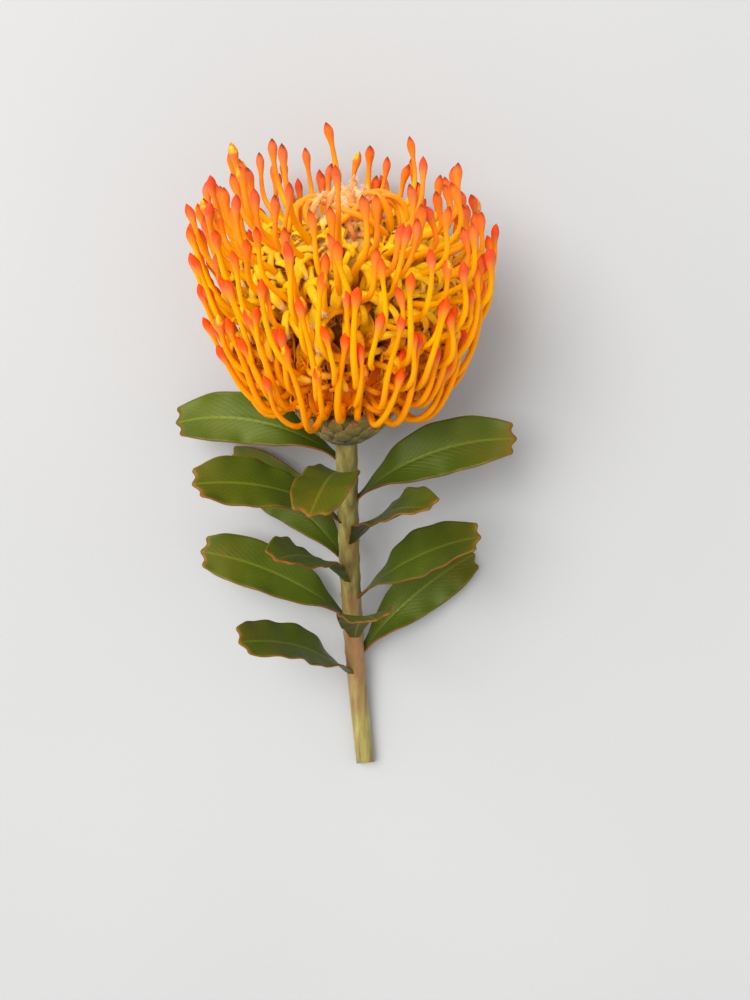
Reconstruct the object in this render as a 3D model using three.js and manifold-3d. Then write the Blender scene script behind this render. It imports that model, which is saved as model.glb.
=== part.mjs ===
// Pincushion protea: one cut flower head on its leafy stem, laid on a flat surface.
// Millimetres, +Z up. The stem lies along Y, the head faces +Y, and the origin is
// the middle of the base of the whole flower's box.
import * as THREE from 'three';
import { mergeVertices } from 'three/addons/utils/BufferGeometryUtils.js';
import Module from 'manifold-3d';

const wasm = await Module();
wasm.setup();

// ---- Driving dimensions -----------------------------------------------------------
const DEG = Math.PI / 180;
const GOLDEN_ANGLE = Math.PI * (3 - Math.sqrt(5));
const GAP = 0.3;                     // clearance between pieces that touch
const FLOOR_SOFTNESS = 2;            // how gently a piece bends where it meets the surface

// The head lies with its axis rising from the surface. In the head, a runs along the
// axis toward the tips and r away from it; a = 0 is the middle of the cushion.
const HEAD_RISE = 15 * DEG;
const HEAD_HEIGHT = 43.8;

// Ellipsoids of revolution about the axis: [radius, half length].
const CUSHION = [32, 42];            // where the styles come out of their florets
const PERIANTHS = [29, 39];          // packed perianth tubes
const RECEPTACLE = [23, 33];         // what the florets grow on
const RECEPTACLE_CLEAR = 1.2;        // between the receptacle and the tubes' inner side
const ROUND_SIDES = 12;
const LAYER_LOW = -30;               // lower edge of the packed tubes
const HEAD_BASE = -31;               // flat base of the receptacle, on the stem

// Florets run down the cushion along a golden-angle spiral.
const FLORETS = 120;
const YOUNG_FLORETS = 14;            // the first ones, still closed
const FLORET_TOP = 42;
const FLORET_LOW = -30;

// Styles, by where they leave the cushion: [a, tip r, tip a, outward lean at the tip].
const STYLE_RUNS = [
  [-30, 47, -3, 14], [-20, 50.5, 9, 8], [-8, 53, 22, 3], [6, 53, 33, -3],
  [20, 47.5, 46, -7], [30, 38, 56, -8], [36, 29, 62, -6],
];
const STYLE_STATIONS = 6;
const STYLE_RADIUS = [1.45, 1.1];    // at the cushion, under the knob
const STYLE_REACH = [0.4, 0.52];     // how far its ends run straight, of its length
const STYLE_DROOP = { below: 10, by: 0.12 };
const STYLE_ROOT = 2.5;
const STYLE_SCATTER = { r: 1.6, a: 2.6, turn: 0.08 };
const KNOB = { length: 5.6, radius: 2.2, widest: 0.4 };

// Perianth ribbons: a slit perianth stands up beside its style and curls back, as
// [share of its rise, distance away from the style].
const RIBBON = { width: 2.3, thick: 0.9, rise: 5.2, reach: 6.4, offset: 3.1 };
const RIBBON_BEND = [[-0.42, 0], [0.7, 0.1], [1, 1.9], [0.5, 4]];
const RIBBON_FOOT_WIDTH = 0.8;

// Closed young florets in a tuft at the apex, and the bowed styles round it.
const TUFT_RADIUS = 11;
const BUDS = 20;
const BUD = { length: 8.5, radius: 1.75, root: 2, lean: 0.55, inset: 1.2 };
const BOWS = 9;
const BOW = { radius: 1, top: 50, spread: 3, twist: 0.25, steps: 5, end: [17.5, 38.5] };

// Involucre: a cup of pointed bracts under the head, as [r, a] up its outside.
const CUP = [[7, -44], [12.5, -40], [17, -34.6], [18.4, -30.6]];
const CUP_SEAT = -32.2;              // ledge inside the cup, under the receptacle
const BRACTS = 24;
const BRACT = { width: 2.7, thick: 0.7, reach: 0.42, rows: 0.66, lift: 1.3 };

// Stem, from the receptacle down to the cut end on the surface.
const STEM_RADIUS = [4.05, 3.75];    // at the head, at the cut end
const STEM_KNUCKLE = 0.22;
const STEM_SIDES = 8;
const STEM_RINGS = 16;
const STEM_END = new THREE.Vector3(7, -186, 3.3);
const STEM_PULLS = { head: 60, end: new THREE.Vector3(-6, 55, 0) };

// Leaves, in a golden-angle spiral turned away from the surface.
const LEAVES = 12;
const LEAF_FIRST = 21;               // distance below the head, along the stem
const LEAF_STEP = 8.6;
const LEAF_SPREAD = 0.7;
const LEAF_START = 0.6;
const LEAF_TWIST = 0.55;             // share of its turn by which a leaf faces up again
const LEAF_OPENING = [38, 76];       // degrees from the stem, at the base and the tip
const LEAF_CROWDED = { over: 30, add: [14, 40] };
const LEAF = { length: 64, half: 10.5, thick: 0.9, rows: 7, columns: 4, notch: 0.035 };
const LEAF_CUP = 0.16;
const LEAF_WAVE = { height: 1.5, rate: 9 };

// Half width of a leaf along its length: narrow at the base, widest past the middle.
const LEAF_OUTLINE = [
  [0, 0.27], [0.12, 0.4], [0.3, 0.7], [0.5, 0.93], [0.68, 1], [0.84, 0.92], [0.95, 0.66], [1, 0.5],
];

const X_AXIS = new THREE.Vector3(1, 0, 0);
const UP = new THREE.Vector3(0, 0, 1);

// ---- Small helpers ----------------------------------------------------------------
// A repeatable draw between 0 and 1 for piece i and property k.
function draw(i, k) {
  const x = Math.sin(i * 12.9898 + k * 78.233) * 43758.5453;
  return x - Math.floor(x);
}

// The same, between -1 and 1 and denser in the middle.
function scatter(i, k) {
  return draw(i, k) + draw(i, k + 50) - 1;
}

function lerp(from, to, t) {
  return from + (to - from) * t;
}

function list(count, make) {
  return Array.from({ length: count }, (_, i) => make(i));
}

// Reads a list of rows as a piecewise straight function of their first column.
function runAt(rows, x) {
  let k = 0;
  while (k < rows.length - 2 && x > rows[k + 1][0]) k += 1;
  const t = THREE.MathUtils.clamp((x - rows[k][0]) / (rows[k + 1][0] - rows[k][0]), 0, 1);
  return rows[k].map((value, column) => lerp(value, rows[k + 1][column], t));
}

// Lifts a point that would pass below a given height, bending smoothly.
function settle(point, height) {
  const over = point.z - height;
  point.z = height + (over + Math.hypot(over, FLOOR_SOFTNESS)) / 2;
  return point;
}

// From the head's own (r, a, turn) to the model.
function inHead(r, a, turn) {
  return new THREE.Vector3(r * Math.cos(turn), a, r * Math.sin(turn))
    .applyAxisAngle(X_AXIS, HEAD_RISE)
    .addScaledVector(UP, HEAD_HEIGHT);
}

// The direction round the head's axis at a given turn.
function aroundHead(turn) {
  return new THREE.Vector3(-Math.sin(turn), 0, Math.cos(turn)).applyAxisAngle(X_AXIS, HEAD_RISE);
}

// A point of a cubic curve in the head's (r, a) plane.
function cubic(p0, p1, p2, p3, t) {
  const s = 1 - t;
  const shares = [s * s * s, 3 * s * s * t, 3 * s * t * t, t * t * t];
  return [0, 1].map((k) => shares[0] * p0[k] + shares[1] * p1[k] + shares[2] * p2[k] + shares[3] * p3[k]);
}

// ---- Solids -----------------------------------------------------------------------
function solid(positions, triangles) {
  const mesh = new wasm.Mesh({
    numProp: 3,
    vertProperties: new Float32Array(positions),
    triVerts: new Uint32Array(triangles),
  });
  return new wasm.Manifold(mesh);
}

// One section of a sweep: side points along its width, and no width makes it a point.
function section(at, side, wide, thick = wide) {
  return { at, side, wide, thick };
}

// A closed solid swept through sections, with nothing below the surface.
function sweep(sections, sides) {
  const positions = [];
  const rings = sections.map(({ at, side, wide, thick }, i) => {
    const before = sections[Math.max(i - 1, 0)].at;
    const after = sections[Math.min(i + 1, sections.length - 1)].at;
    const along = after.clone().sub(before).normalize();
    const across = side.clone().addScaledVector(along, -side.dot(along)).normalize();
    const face = new THREE.Vector3().crossVectors(along, across);
    return list(wide > 0 ? sides : 1, (k) => {
      const angle = (2 * Math.PI * (k + 0.5)) / sides + Math.PI / 2;
      const point = at.clone()
        .addScaledVector(across, wide * Math.cos(angle))
        .addScaledVector(face, wide > 0 ? thick * Math.sin(angle) : 0);
      positions.push(point.x, point.y, Math.max(point.z, 0));
      return positions.length / 3 - 1;
    });
  });
  const triangles = [];
  for (let i = 0; i + 1 < rings.length; i += 1) {
    const [low, high] = [rings[i], rings[i + 1]];
    for (let k = 0; k < sides; k += 1) {
      const next = (k + 1) % sides;
      if (low.length > 1) triangles.push(low[k], low[next], high[next % high.length]);
      if (high.length > 1) triangles.push(low[k % low.length], high[next], high[k]);
    }
  }
  const [first, last] = [rings[0], rings[rings.length - 1]];
  for (let k = 1; k + 1 < sides; k += 1) {
    if (first.length > 1) triangles.push(first[0], first[k + 1], first[k]);
    if (last.length > 1) triangles.push(last[0], last[k], last[k + 1]);
  }
  return solid(positions, triangles);
}

// Points of an ellipse's arc, by the angle from the axis.
function arc([radius, half], from, to, steps) {
  return list(steps + 1, (i) => {
    const angle = lerp(from, to, i / steps);
    return new THREE.Vector2(radius * Math.sin(angle), half * Math.cos(angle));
  });
}

// The angle from the axis at which an ellipse has a given radius, near the tips, or a
// given place along the axis.
function angleAtRadius(ellipse, radius) {
  return Math.asin(radius / ellipse[0]);
}

function angleAlong(ellipse, a) {
  return Math.acos(a / ellipse[1]);
}

function radiusAlong(ellipse, a) {
  return ellipse[0] * Math.sin(angleAlong(ellipse, a));
}

// A solid of revolution about the head's axis. The profile starts and ends on the axis
// or closes on itself, and runs down its outside first.
function turned(profile) {
  const geometry = new THREE.LatheGeometry(profile, ROUND_SIDES);
  geometry.deleteAttribute('normal');
  geometry.deleteAttribute('uv');
  const merged = mergeVertices(geometry, 1e-4);
  merged.rotateX(HEAD_RISE).translate(0, 0, HEAD_HEIGHT);
  const index = merged.index.array;
  const triangles = [];
  for (let i = 0; i < index.length; i += 3) {
    const [p, q, r] = [index[i], index[i + 1], index[i + 2]];
    if (p !== q && q !== r && r !== p) triangles.push(p, r, q);
  }
  return solid(merged.attributes.position.array, triangles);
}

function fused(solids) {
  return solids.reduce((whole, piece) => whole.add(piece));
}

// The biggest of the separate bodies in a solid, without its loose scraps.
function largestBody(whole) {
  return whole.decompose().reduce((best, body) => (body.volume() > best.volume() ? body : best));
}

// ---- Florets ----------------------------------------------------------------------
function floret(i) {
  const a = lerp(FLORET_TOP, FLORET_LOW, (i + 0.5) / FLORETS);
  return { i, a, r: radiusAlong(CUSHION, a), turn: i * GOLDEN_ANGLE };
}

const openFlorets = list(FLORETS - YOUNG_FLORETS, (i) => floret(i + YOUNG_FLORETS));

// The cushion's outward direction at a floret, and the way down along its surface.
function outward({ r, a, turn }) {
  return inHead(r / CUSHION[0] ** 2, a / CUSHION[1] ** 2, turn).sub(inHead(0, 0, 0)).normalize();
}

function downward(one) {
  return new THREE.Vector3().crossVectors(aroundHead(one.turn), outward(one)).normalize();
}

// Centreline of a style, as [r, a, turn]: out of the receptacle, away from the cushion,
// then up toward the tips of the head.
function styleLine({ i, a, r, turn }) {
  const [, tipR, tipA, lean] = runAt(STYLE_RUNS, a);
  const tip = [tipR + STYLE_SCATTER.r * scatter(i, 1), tipA + STYLE_SCATTER.a * scatter(i, 2)];
  const length = Math.hypot(tip[0] - r, tip[1] - a);
  const out = new THREE.Vector2(r / CUSHION[0] ** 2, a / CUSHION[1] ** 2).normalize();
  if (a < STYLE_DROOP.below) out.y -= STYLE_DROOP.by;
  out.normalize();
  const [leave, arrive] = STYLE_REACH.map((share) => share * length);
  const bendLow = [r + out.x * leave, a + out.y * leave];
  const bendHigh = [tip[0] - Math.sin(lean * DEG) * arrive, tip[1] - Math.cos(lean * DEG) * arrive];
  const sway = STYLE_SCATTER.turn * scatter(i, 3);
  const root = [
    r * (RECEPTACLE[0] / CUSHION[0]) - out.x * STYLE_ROOT,
    a * (RECEPTACLE[1] / CUSHION[1]) - out.y * STYLE_ROOT,
    turn,
  ];
  return [root, ...list(STYLE_STATIONS + 1, (k) => {
    const t = k / STYLE_STATIONS;
    return [...cubic([r, a], bendLow, bendHigh, tip, t), turn + sway * t];
  })];
}

// A style with its pointed knob; grow thickens it all round, for the hole it stands in.
function styleSolid(one, grow) {
  const line = styleLine(one);
  const sections = line.map(([r, a, turn], k) => {
    const radius = lerp(...STYLE_RADIUS, Math.max(0, k - 1) / STYLE_STATIONS) + grow;
    return section(settle(inHead(r, a, turn), 0), aroundHead(turn), radius);
  });
  const neck = sections[sections.length - 1];
  const onward = neck.at.clone().sub(sections[sections.length - 2].at).normalize();
  const beyond = (distance) => neck.at.clone().addScaledVector(onward, distance);
  sections.push(section(beyond(KNOB.length * KNOB.widest), neck.side, KNOB.radius + grow));
  sections.push(section(beyond(KNOB.length + grow), neck.side, 0));
  return sweep(sections, 3);
}

// The direction in the cushion's surface, not far from straight down it, that takes a
// ribbon furthest from the other styles.
function ribbonWay(one) {
  const here = inHead(one.r, one.a, one.turn);
  const others = openFlorets.filter((other) => other.i !== one.i)
    .map((other) => inHead(other.r, other.a, other.turn));
  let best = { clear: 0 };
  for (let degrees = -70; degrees <= 70; degrees += 10) {
    const way = downward(one).multiplyScalar(Math.cos(degrees * DEG))
      .addScaledVector(aroundHead(one.turn), Math.sin(degrees * DEG));
    const end = here.clone().addScaledVector(way, RIBBON.reach);
    const clear = Math.min(...others.map((other) => other.distanceTo(end)));
    if (clear > best.clear) best = { clear, way };
  }
  return best.way;
}

// One perianth ribbon: it leaves the packed tubes beside its style and curls back.
function ribbonSolid(one) {
  const way = ribbonWay(one);
  const out = outward(one);
  const side = new THREE.Vector3().crossVectors(out, way);
  const foot = inHead(one.r, one.a, one.turn).addScaledVector(out, PERIANTHS[0] - CUSHION[0]);
  const sections = RIBBON_BEND.map(([share, away], k) => {
    const at = foot.clone()
      .addScaledVector(out, share * RIBBON.rise)
      .addScaledVector(way, RIBBON.offset + away);
    const widths = [RIBBON_FOOT_WIDTH, 1, 1, 0];
    return section(at, side, RIBBON.width * widths[k], RIBBON.thick);
  });
  return sweep(sections, 3);
}

// ---- Pieces of the head -----------------------------------------------------------
function makeStyles() {
  const core = turned([
    ...arc(RECEPTACLE, 0, angleAlong(RECEPTACLE, HEAD_BASE), 6),
    new THREE.Vector2(0, HEAD_BASE),
  ]);
  return fused([core, ...openFlorets.map((one) => styleSolid(one, 0))]);
}

const styleHoles = fused(openFlorets.map((one) => styleSolid(one, GAP)));

// A closed floret: a spindle standing on the tuft, leaning out toward its edge.
function budSolid(i, grow) {
  const share = Math.sqrt((i + 0.5) / BUDS);
  const r = (TUFT_RADIUS - BUD.inset) * share;
  const a = PERIANTHS[1] * Math.cos(angleAtRadius(PERIANTHS, r));
  const turn = i * GOLDEN_ANGLE + 1;
  const lean = BUD.lean * share;
  const length = BUD.length * lerp(0.8, 1.15, draw(i, 7));
  const at = (along) => inHead(r + Math.sin(lean) * along, a + Math.cos(lean) * along, turn);
  return sweep([
    section(at(-BUD.root), aroundHead(turn), BUD.radius * 0.8 + grow),
    section(at(length * 0.55), aroundHead(turn), BUD.radius + grow),
    section(at(length + grow), aroundHead(turn), 0),
  ], 3);
}

// A young style still held at its tip: it bows out of the tuft and back to the cushion.
function bowSolid(i, grow) {
  const turn = (i + 0.3 * scatter(i, 8)) * ((2 * Math.PI) / BOWS);
  const top = BOW.top + BOW.spread * draw(i, 9);
  return sweep(list(BOW.steps + 1, (k) => {
    const t = k / BOW.steps;
    const [r, a] = cubic([6, 35], [8, top + 5], [17, top + 2], BOW.end, t);
    const now = turn + BOW.twist * t;
    return section(inHead(r, a, now), aroundHead(now), BOW.radius + grow);
  }), 3);
}

// The tuft; grow thickens it all round, for the hole it stands in.
function tuftSolid(grow) {
  const edge = TUFT_RADIUS + grow;
  const under = RECEPTACLE.map((size) => size + RECEPTACLE_CLEAR - grow);
  const dome = turned([
    ...arc(PERIANTHS, 0, angleAtRadius(PERIANTHS, edge), 3),
    ...arc(under, angleAtRadius(under, edge), 0, 3),
  ]);
  const buds = list(BUDS, (i) => budSolid(i, grow));
  const bows = list(BOWS, (i) => bowSolid(i, grow));
  return fused([dome, ...buds, ...bows]);
}

// A pointed scale on the outside of the cup, overlapping the ones above it.
function bractSolid(i, grow) {
  const [low, high] = [CUP[0][1], CUP[CUP.length - 1][1]];
  const rows = CUP.map(([r, a]) => [(a - low) / (high - low), r, a]);
  const turn = i * GOLDEN_ANGLE;
  const start = BRACT.rows * (i / (BRACTS - 1));
  const at = (height, off) => {
    const [, r, a] = runAt(rows, height);
    return inHead(r + off, a - off / 2, turn);
  };
  const thick = BRACT.thick + grow;
  return sweep([
    section(at(start, -0.8), aroundHead(turn), BRACT.width * 0.75 + grow, thick),
    section(at(start + BRACT.reach / 2, 0.5), aroundHead(turn), BRACT.width + grow, thick),
    section(at(start + BRACT.reach, BRACT.lift + grow), aroundHead(turn), 0),
  ], 3);
}

// The cup with its bracts; grow thickens it all round.
function involucreSolid(grow) {
  const hole = STEM_RADIUS[0] + STEM_KNUCKLE + GAP - grow;
  const [lowA, topA] = [CUP[0][1], CUP[CUP.length - 1][1] + grow];
  const outside = CUP.map(([r, a], k) => new THREE.Vector2(r + grow, k < CUP.length - 1 ? a : topA));
  const ledge = radiusAlong(RECEPTACLE, topA) + 1 - grow;
  const cup = turned([
    new THREE.Vector2(ledge, topA),
    ...outside.reverse(),
    new THREE.Vector2(hole, lowA),
    new THREE.Vector2(hole, CUP_SEAT + grow),
    new THREE.Vector2(ledge, CUP_SEAT + grow),
    new THREE.Vector2(ledge, topA),
  ]);
  return fused([cup, ...list(BRACTS, (i) => bractSolid(i, grow))]);
}

function makePerianths() {
  const hole = TUFT_RADIUS + GAP;
  const inside = RECEPTACLE.map((size) => size + RECEPTACLE_CLEAR);
  const outer = arc(PERIANTHS, angleAtRadius(PERIANTHS, hole), angleAlong(PERIANTHS, LAYER_LOW), 6);
  const inner = arc(inside, angleAlong(inside, LAYER_LOW), angleAtRadius(inside, hole), 5);
  const layer = turned([...outer, ...inner, outer[0]]);
  return largestBody(fused([layer, ...openFlorets.map(ribbonSolid)])
    .subtract(styleHoles)
    .subtract(tuftSolid(GAP))
    .subtract(involucreSolid(GAP)));
}

// ---- Stem and leaves --------------------------------------------------------------
const stemTop = inHead(0, HEAD_BASE - GAP, 0);
const headAxis = inHead(0, 1, 0).sub(inHead(0, 0, 0));
const stemCurve = new THREE.CubicBezierCurve3(
  stemTop,
  stemTop.clone().addScaledVector(headAxis, -STEM_PULLS.head),
  STEM_END.clone().add(STEM_PULLS.end),
  STEM_END,
);

// The stem, a little thicker at every other ring.
function makeStem() {
  return sweep(list(STEM_RINGS + 1, (k) => {
    const share = k / STEM_RINGS;
    const radius = lerp(...STEM_RADIUS, share) + STEM_KNUCKLE * (k % 2);
    return section(stemCurve.getPointAt(share), X_AXIS.clone().negate(), radius);
  }), STEM_SIDES);
}

// Where a leaf stands on the stem, the directions there, and its own form.
function leafPlace(i) {
  const distance = LEAF_FIRST + LEAF_STEP * i;
  const share = distance / stemCurve.getLength();
  const along = stemCurve.getTangentAt(share).negate();
  const turn = (((i * GOLDEN_ANGLE + LEAF_START) % (2 * Math.PI)) - Math.PI) * LEAF_SPREAD;
  const right = new THREE.Vector3().crossVectors(along, UP).normalize();
  const out = new THREE.Vector3().crossVectors(right, along)
    .multiplyScalar(Math.cos(turn))
    .addScaledVector(right, Math.sin(turn));
  const off = lerp(...STEM_RADIUS, share) + STEM_KNUCKLE + GAP + LEAF.thick / 2;
  const crowded = THREE.MathUtils.clamp(1 - (distance - LEAF_FIRST) / LEAF_CROWDED.over, 0, 1);
  return {
    turn,
    along,
    out,
    across: new THREE.Vector3().crossVectors(along, out).normalize(),
    start: stemCurve.getPointAt(share).addScaledVector(out, off),
    opening: LEAF_OPENING.map((angle, end) => {
      const scattered = (6 + 2 * end) * scatter(i, 11 + end);
      return (angle + LEAF_CROWDED.add[end] * crowded + scattered) * DEG;
    }),
    length: LEAF.length * (1 + 0.08 * scatter(i, 13)),
    half: LEAF.half * (1 + 0.1 * scatter(i, 14)),
    swing: 5 * scatter(i, 15),
    phase: 2 * Math.PI * draw(i, 16),
  };
}

// A point of a leaf's middle surface: v runs from base to tip, u across it.
function leafPoint(leaf, v, u) {
  const toward = (angle) => leaf.along.clone().multiplyScalar(Math.cos(angle))
    .addScaledVector(leaf.out, Math.sin(angle));
  const facing = toward(lerp(...leaf.opening, v) - Math.PI / 2);
  const twist = LEAF_TWIST * leaf.turn * THREE.MathUtils.smoothstep(v, 0, 0.45);
  const [level, tilt] = [Math.cos(twist), Math.sin(twist)];
  const width = leaf.across.clone().multiplyScalar(level).addScaledVector(facing, tilt);
  const normal = facing.clone().multiplyScalar(level).addScaledVector(leaf.across, -tilt);
  const [, outline] = runAt(LEAF_OUTLINE, v);
  const wave = LEAF_WAVE.height * u * Math.sin(v * LEAF_WAVE.rate + leaf.phase);
  const lift = LEAF_CUP * leaf.half * u * u + wave;
  const place = leaf.start.clone()
    .addScaledVector(toward(lerp(...leaf.opening, v / 2)), leaf.length * v)
    .addScaledVector(leaf.across, leaf.swing * v * v)
    .addScaledVector(width, u * leaf.half * outline)
    .addScaledVector(normal, lift * outline);
  return settle(place, LEAF.thick / 2);
}

// A leaf's thin blade. Three teeth close its tip, and both faces are split alike.
function leafSolid(i) {
  const leaf = leafPlace(i);
  const { rows, columns, thick } = LEAF;
  const step = 0.01;
  const grid = [];
  for (let row = 0; row <= rows; row += 1) {
    for (let column = 0; column <= columns; column += 1) {
      const v = row / rows - (row === rows && column % 2 === 1 ? LEAF.notch : 0);
      const u = (2 * column) / columns - 1;
      const alongV = leafPoint(leaf, v + step, u).sub(leafPoint(leaf, v - step, u));
      const alongU = leafPoint(leaf, v, u + step).sub(leafPoint(leaf, v, u - step));
      const normal = new THREE.Vector3().crossVectors(alongU, alongV).normalize();
      grid.push({ at: leafPoint(leaf, v, u), normal });
    }
  }
  const positions = [0.5, -0.5].flatMap((side) => grid.flatMap(({ at, normal }) => {
    const place = at.clone().addScaledVector(normal, side * thick);
    return [place.x, place.y, Math.max(place.z, 0)];
  }));
  const width = columns + 1;
  const back = grid.length;
  const triangles = [];
  const quad = (p, q, r, s) => triangles.push(p, q, r, p, r, s);
  for (let row = 0; row < rows; row += 1) {
    for (let column = 0; column < columns; column += 1) {
      const p = row * width + column;
      const [q, r, s] = [p + 1, p + 1 + width, p + width];
      quad(p, q, r, s);
      triangles.push(back + p, back + r, back + q, back + p, back + s, back + r);
    }
    const [left, right] = [row * width, row * width + columns];
    quad(left + width, left + width + back, left + back, left);
    quad(right, right + back, right + back + width, right + width);
  }
  for (let column = 0; column < columns; column += 1) {
    const far = rows * width + column;
    quad(column, column + back, column + 1 + back, column + 1);
    quad(far + 1, far + 1 + back, far + back, far);
  }
  return solid(positions, triangles);
}

// ---- The flower -------------------------------------------------------------------
function piece(name, shape, color, roughness) {
  const { vertProperties, triVerts } = shape.getMesh();
  const geometry = new THREE.BufferGeometry();
  geometry.setAttribute('position', new THREE.BufferAttribute(vertProperties.slice(), 3));
  geometry.setIndex(new THREE.BufferAttribute(triVerts.slice(), 1));
  const material = new THREE.MeshStandardMaterial({ color, roughness, metalness: 0 });
  const mesh = new THREE.Mesh(geometry, material);
  mesh.name = name;
  return mesh;
}

const head = new THREE.Group();
head.add(
  piece('styles', makeStyles(), 0xf07a1a, 0.45),
  piece('perianths', makePerianths(), 0xf2b81c, 0.35),
  piece('young_florets', tuftSolid(0).subtract(styleHoles), 0xd9a08a, 0.8),
  piece('involucre', involucreSolid(0), 0x8a6a3a, 0.8),
);

const leafyStem = new THREE.Group();
leafyStem.add(
  piece('stem', makeStem(), 0x7c7a3c, 0.7),
  ...list(LEAVES, (i) => piece(`leaf_${String(i + 1).padStart(2, '0')}`, leafSolid(i), 0x3f7030, 0.5)),
);

const flower = new THREE.Group();
flower.add(head, leafyStem);
const box = new THREE.Box3().setFromObject(flower);
flower.position.set(-(box.min.x + box.max.x) / 2, -(box.min.y + box.max.y) / 2, 0);

export default flower;
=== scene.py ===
"""Looks of a cut pincushion protea: one flower head on its leafy stem, lying on a table."""
import math

import bpy
import numpy as np
from mathutils import Matrix, Vector


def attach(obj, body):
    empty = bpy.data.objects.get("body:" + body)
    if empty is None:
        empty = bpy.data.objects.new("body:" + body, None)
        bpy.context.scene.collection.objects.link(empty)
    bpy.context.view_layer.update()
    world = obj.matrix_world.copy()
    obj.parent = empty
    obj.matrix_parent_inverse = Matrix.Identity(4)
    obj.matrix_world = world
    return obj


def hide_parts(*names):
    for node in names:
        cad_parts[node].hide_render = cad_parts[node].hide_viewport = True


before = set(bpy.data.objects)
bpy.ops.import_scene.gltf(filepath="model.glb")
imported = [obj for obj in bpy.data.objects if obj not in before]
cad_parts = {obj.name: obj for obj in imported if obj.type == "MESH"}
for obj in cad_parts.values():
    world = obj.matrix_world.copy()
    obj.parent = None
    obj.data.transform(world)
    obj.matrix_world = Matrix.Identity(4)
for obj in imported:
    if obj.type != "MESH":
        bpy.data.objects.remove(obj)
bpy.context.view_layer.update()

# ---- Sizes, in metres ------------------------------------------------------------------
GOLDEN_ANGLE = math.pi * (3 - math.sqrt(5))
FLOOR_SOFTNESS = 0.002

# The head's own frame: a runs along its axis toward the tips, r away from it.
HEAD_CENTRE = Vector((0.0014077, 0.057211, 0.0438))
HEAD_RISE = math.radians(15)

# Ellipsoids of revolution about the axis: radius, half length.
CUSHION = (0.032, 0.042)
PERIANTHS = (0.029, 0.039)
RECEPTACLE = (0.023, 0.033)

FLORETS = 120
YOUNG_FLORETS = 14
FLORET_TOP = 0.042
FLORET_LOW = -0.030

# Styles, by where they leave the cushion: a, tip r, tip a, outward lean in degrees.
STYLE_RUNS = [
    (-0.030, 0.0435, -0.004, 18), (-0.020, 0.0475, 0.008, 13), (-0.008, 0.0517, 0.0215, 6),
    (0.006, 0.0533, 0.0315, 3), (0.020, 0.0475, 0.0438, -1), (0.030, 0.038, 0.0538, -4),
    (0.036, 0.029, 0.0595, -4),
]
STYLE_POINTS = 22
# How far styles run straight off the cushion and straight into the tip, by their span.
STYLE_REACH = (0.4, 0.52)
# How far down or up styles turn as they leave, by where they stand along the axis.
STYLE_RISE = [(-0.020, -0.12), (-0.010, 0.0), (0.004, 0.5), (0.020, 0.6), (0.036, 0.3)]
STYLE_ROOT = 0.0025
# Draws that move a tip away from the axis, along it and round it, and bow the style.
STYLE_SCATTER = (0.0016, 0.0026, 0.08)
STYLE_BOW = (0.06, 0.04)
# The sheaf leans toward -X by these degrees. Its +X flank is shorter by this, growing
# between two places along the axis.
STYLE_TILT = 11
STYLE_SHORT_FLANK = 0.005
STYLE_SHORT_OVER = (-0.02, 0.0)
STYLE_SIDES = 8
STYLE_RINGS = 20
STYLE_RING_CROWDING = 1.4
STYLE_RADIUS = (0.00128, 0.00086)
STYLE_THICKNESS = (0.88, 1.1)
STYLE_LENGTH = 0.065
KNOB_LENGTH = 0.0088
KNOB_RADIUS = 0.0017
# The knob's outline: share of its length, share of its radius.
KNOB_FORM = [
    (0.1, 0.56), (0.24, 0.67), (0.38, 0.83), (0.52, 0.97), (0.64, 1.0), (0.77, 0.81),
    (0.88, 0.5), (0.955, 0.2),
]
# How far a knob nods sideways and outward, growing toward its point.
KNOB_NOD = (0.35, 0.3)
KNOB_BEND = (0.4, 1.0, 1.4)
# Styles that still carry pollen, on one side of the knob.
POLLEN_SHARE = 0.23
POLLEN_OVER = (0.925, 0.955)
POLLEN_SIDE = (0.35, 0.8)

# Perianth ribbons: length, width, depth of the channel, form along it as (share, width,
# depth), and their curl as (share where it starts, degrees, how late it tightens).
RIBBON_THICKNESS = 0.00035
RIBBON_ROWS = 10
RIBBON_SIDES = 8
RIBBONS = {
    "boat": (0.0134, 0.0056, 0.0022,
             [(0, 0.55, 0.6), (0.35, 1, 1), (0.7, 0.85, 0.9), (1, 0.1, 0.2)], (0.0, -42, 0.6)),
    "hook": (0.0225, 0.0039, 0.0015,
             [(0, 0.8, 0.8), (0.4, 1, 1), (0.8, 0.85, 0.7), (1, 0.35, 0.4)], (0.34, 205, 1.0)),
    "coil": (0.0225, 0.0036, 0.0013,
             [(0, 0.8, 0.8), (0.4, 1, 1), (0.8, 0.85, 0.7), (1, 0.4, 0.4)], (0.3, 285, 1.0)),
    "thin": (0.0210, 0.0026, 0.0009,
             [(0, 0.9, 0.8), (0.5, 0.9, 1), (0.85, 1.1, 0.9), (1, 0.4, 0.4)], (0.2, 165, 1.25)),
    "curly": (0.0180, 0.0023, 0.0008,
              [(0, 0.9, 0.8), (0.5, 0.9, 1), (0.85, 1.2, 0.9), (1, 0.4, 0.4)], (0.18, 290, 1.25)),
}
CURL_POINTS = 18
CURL_LATE = 1.25
# The unslit foot of a perianth, as (place along it, radius), and how far it is sunk.
TUBE_FORM = [(0.0, 0.0017), (0.003, 0.0019), (0.0052, 0.0018), (0.0064, 0.0022)]
TUBE_SIDES = 10
TUBE_SUNK = 0.004
# It is coloured as the start of a ribbon of this length.
TUBE_COLORED_OVER = 0.02

# Each floret has one broad ribbon, by its height from 0 at the cushion's foot to 1 at its
# top: a boat low down, and a hook or a coil above.
BOATS_BELOW = 0.42
BOATS_SCATTER = 0.25
HOOK_SHARE = 0.65
BROAD_SIZE = (0.8, 1.15)
BROAD_SUNK = 0.0005
BOAT_ASIDE = 0.0022
HOOK_ASIDE = 0.0014
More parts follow.
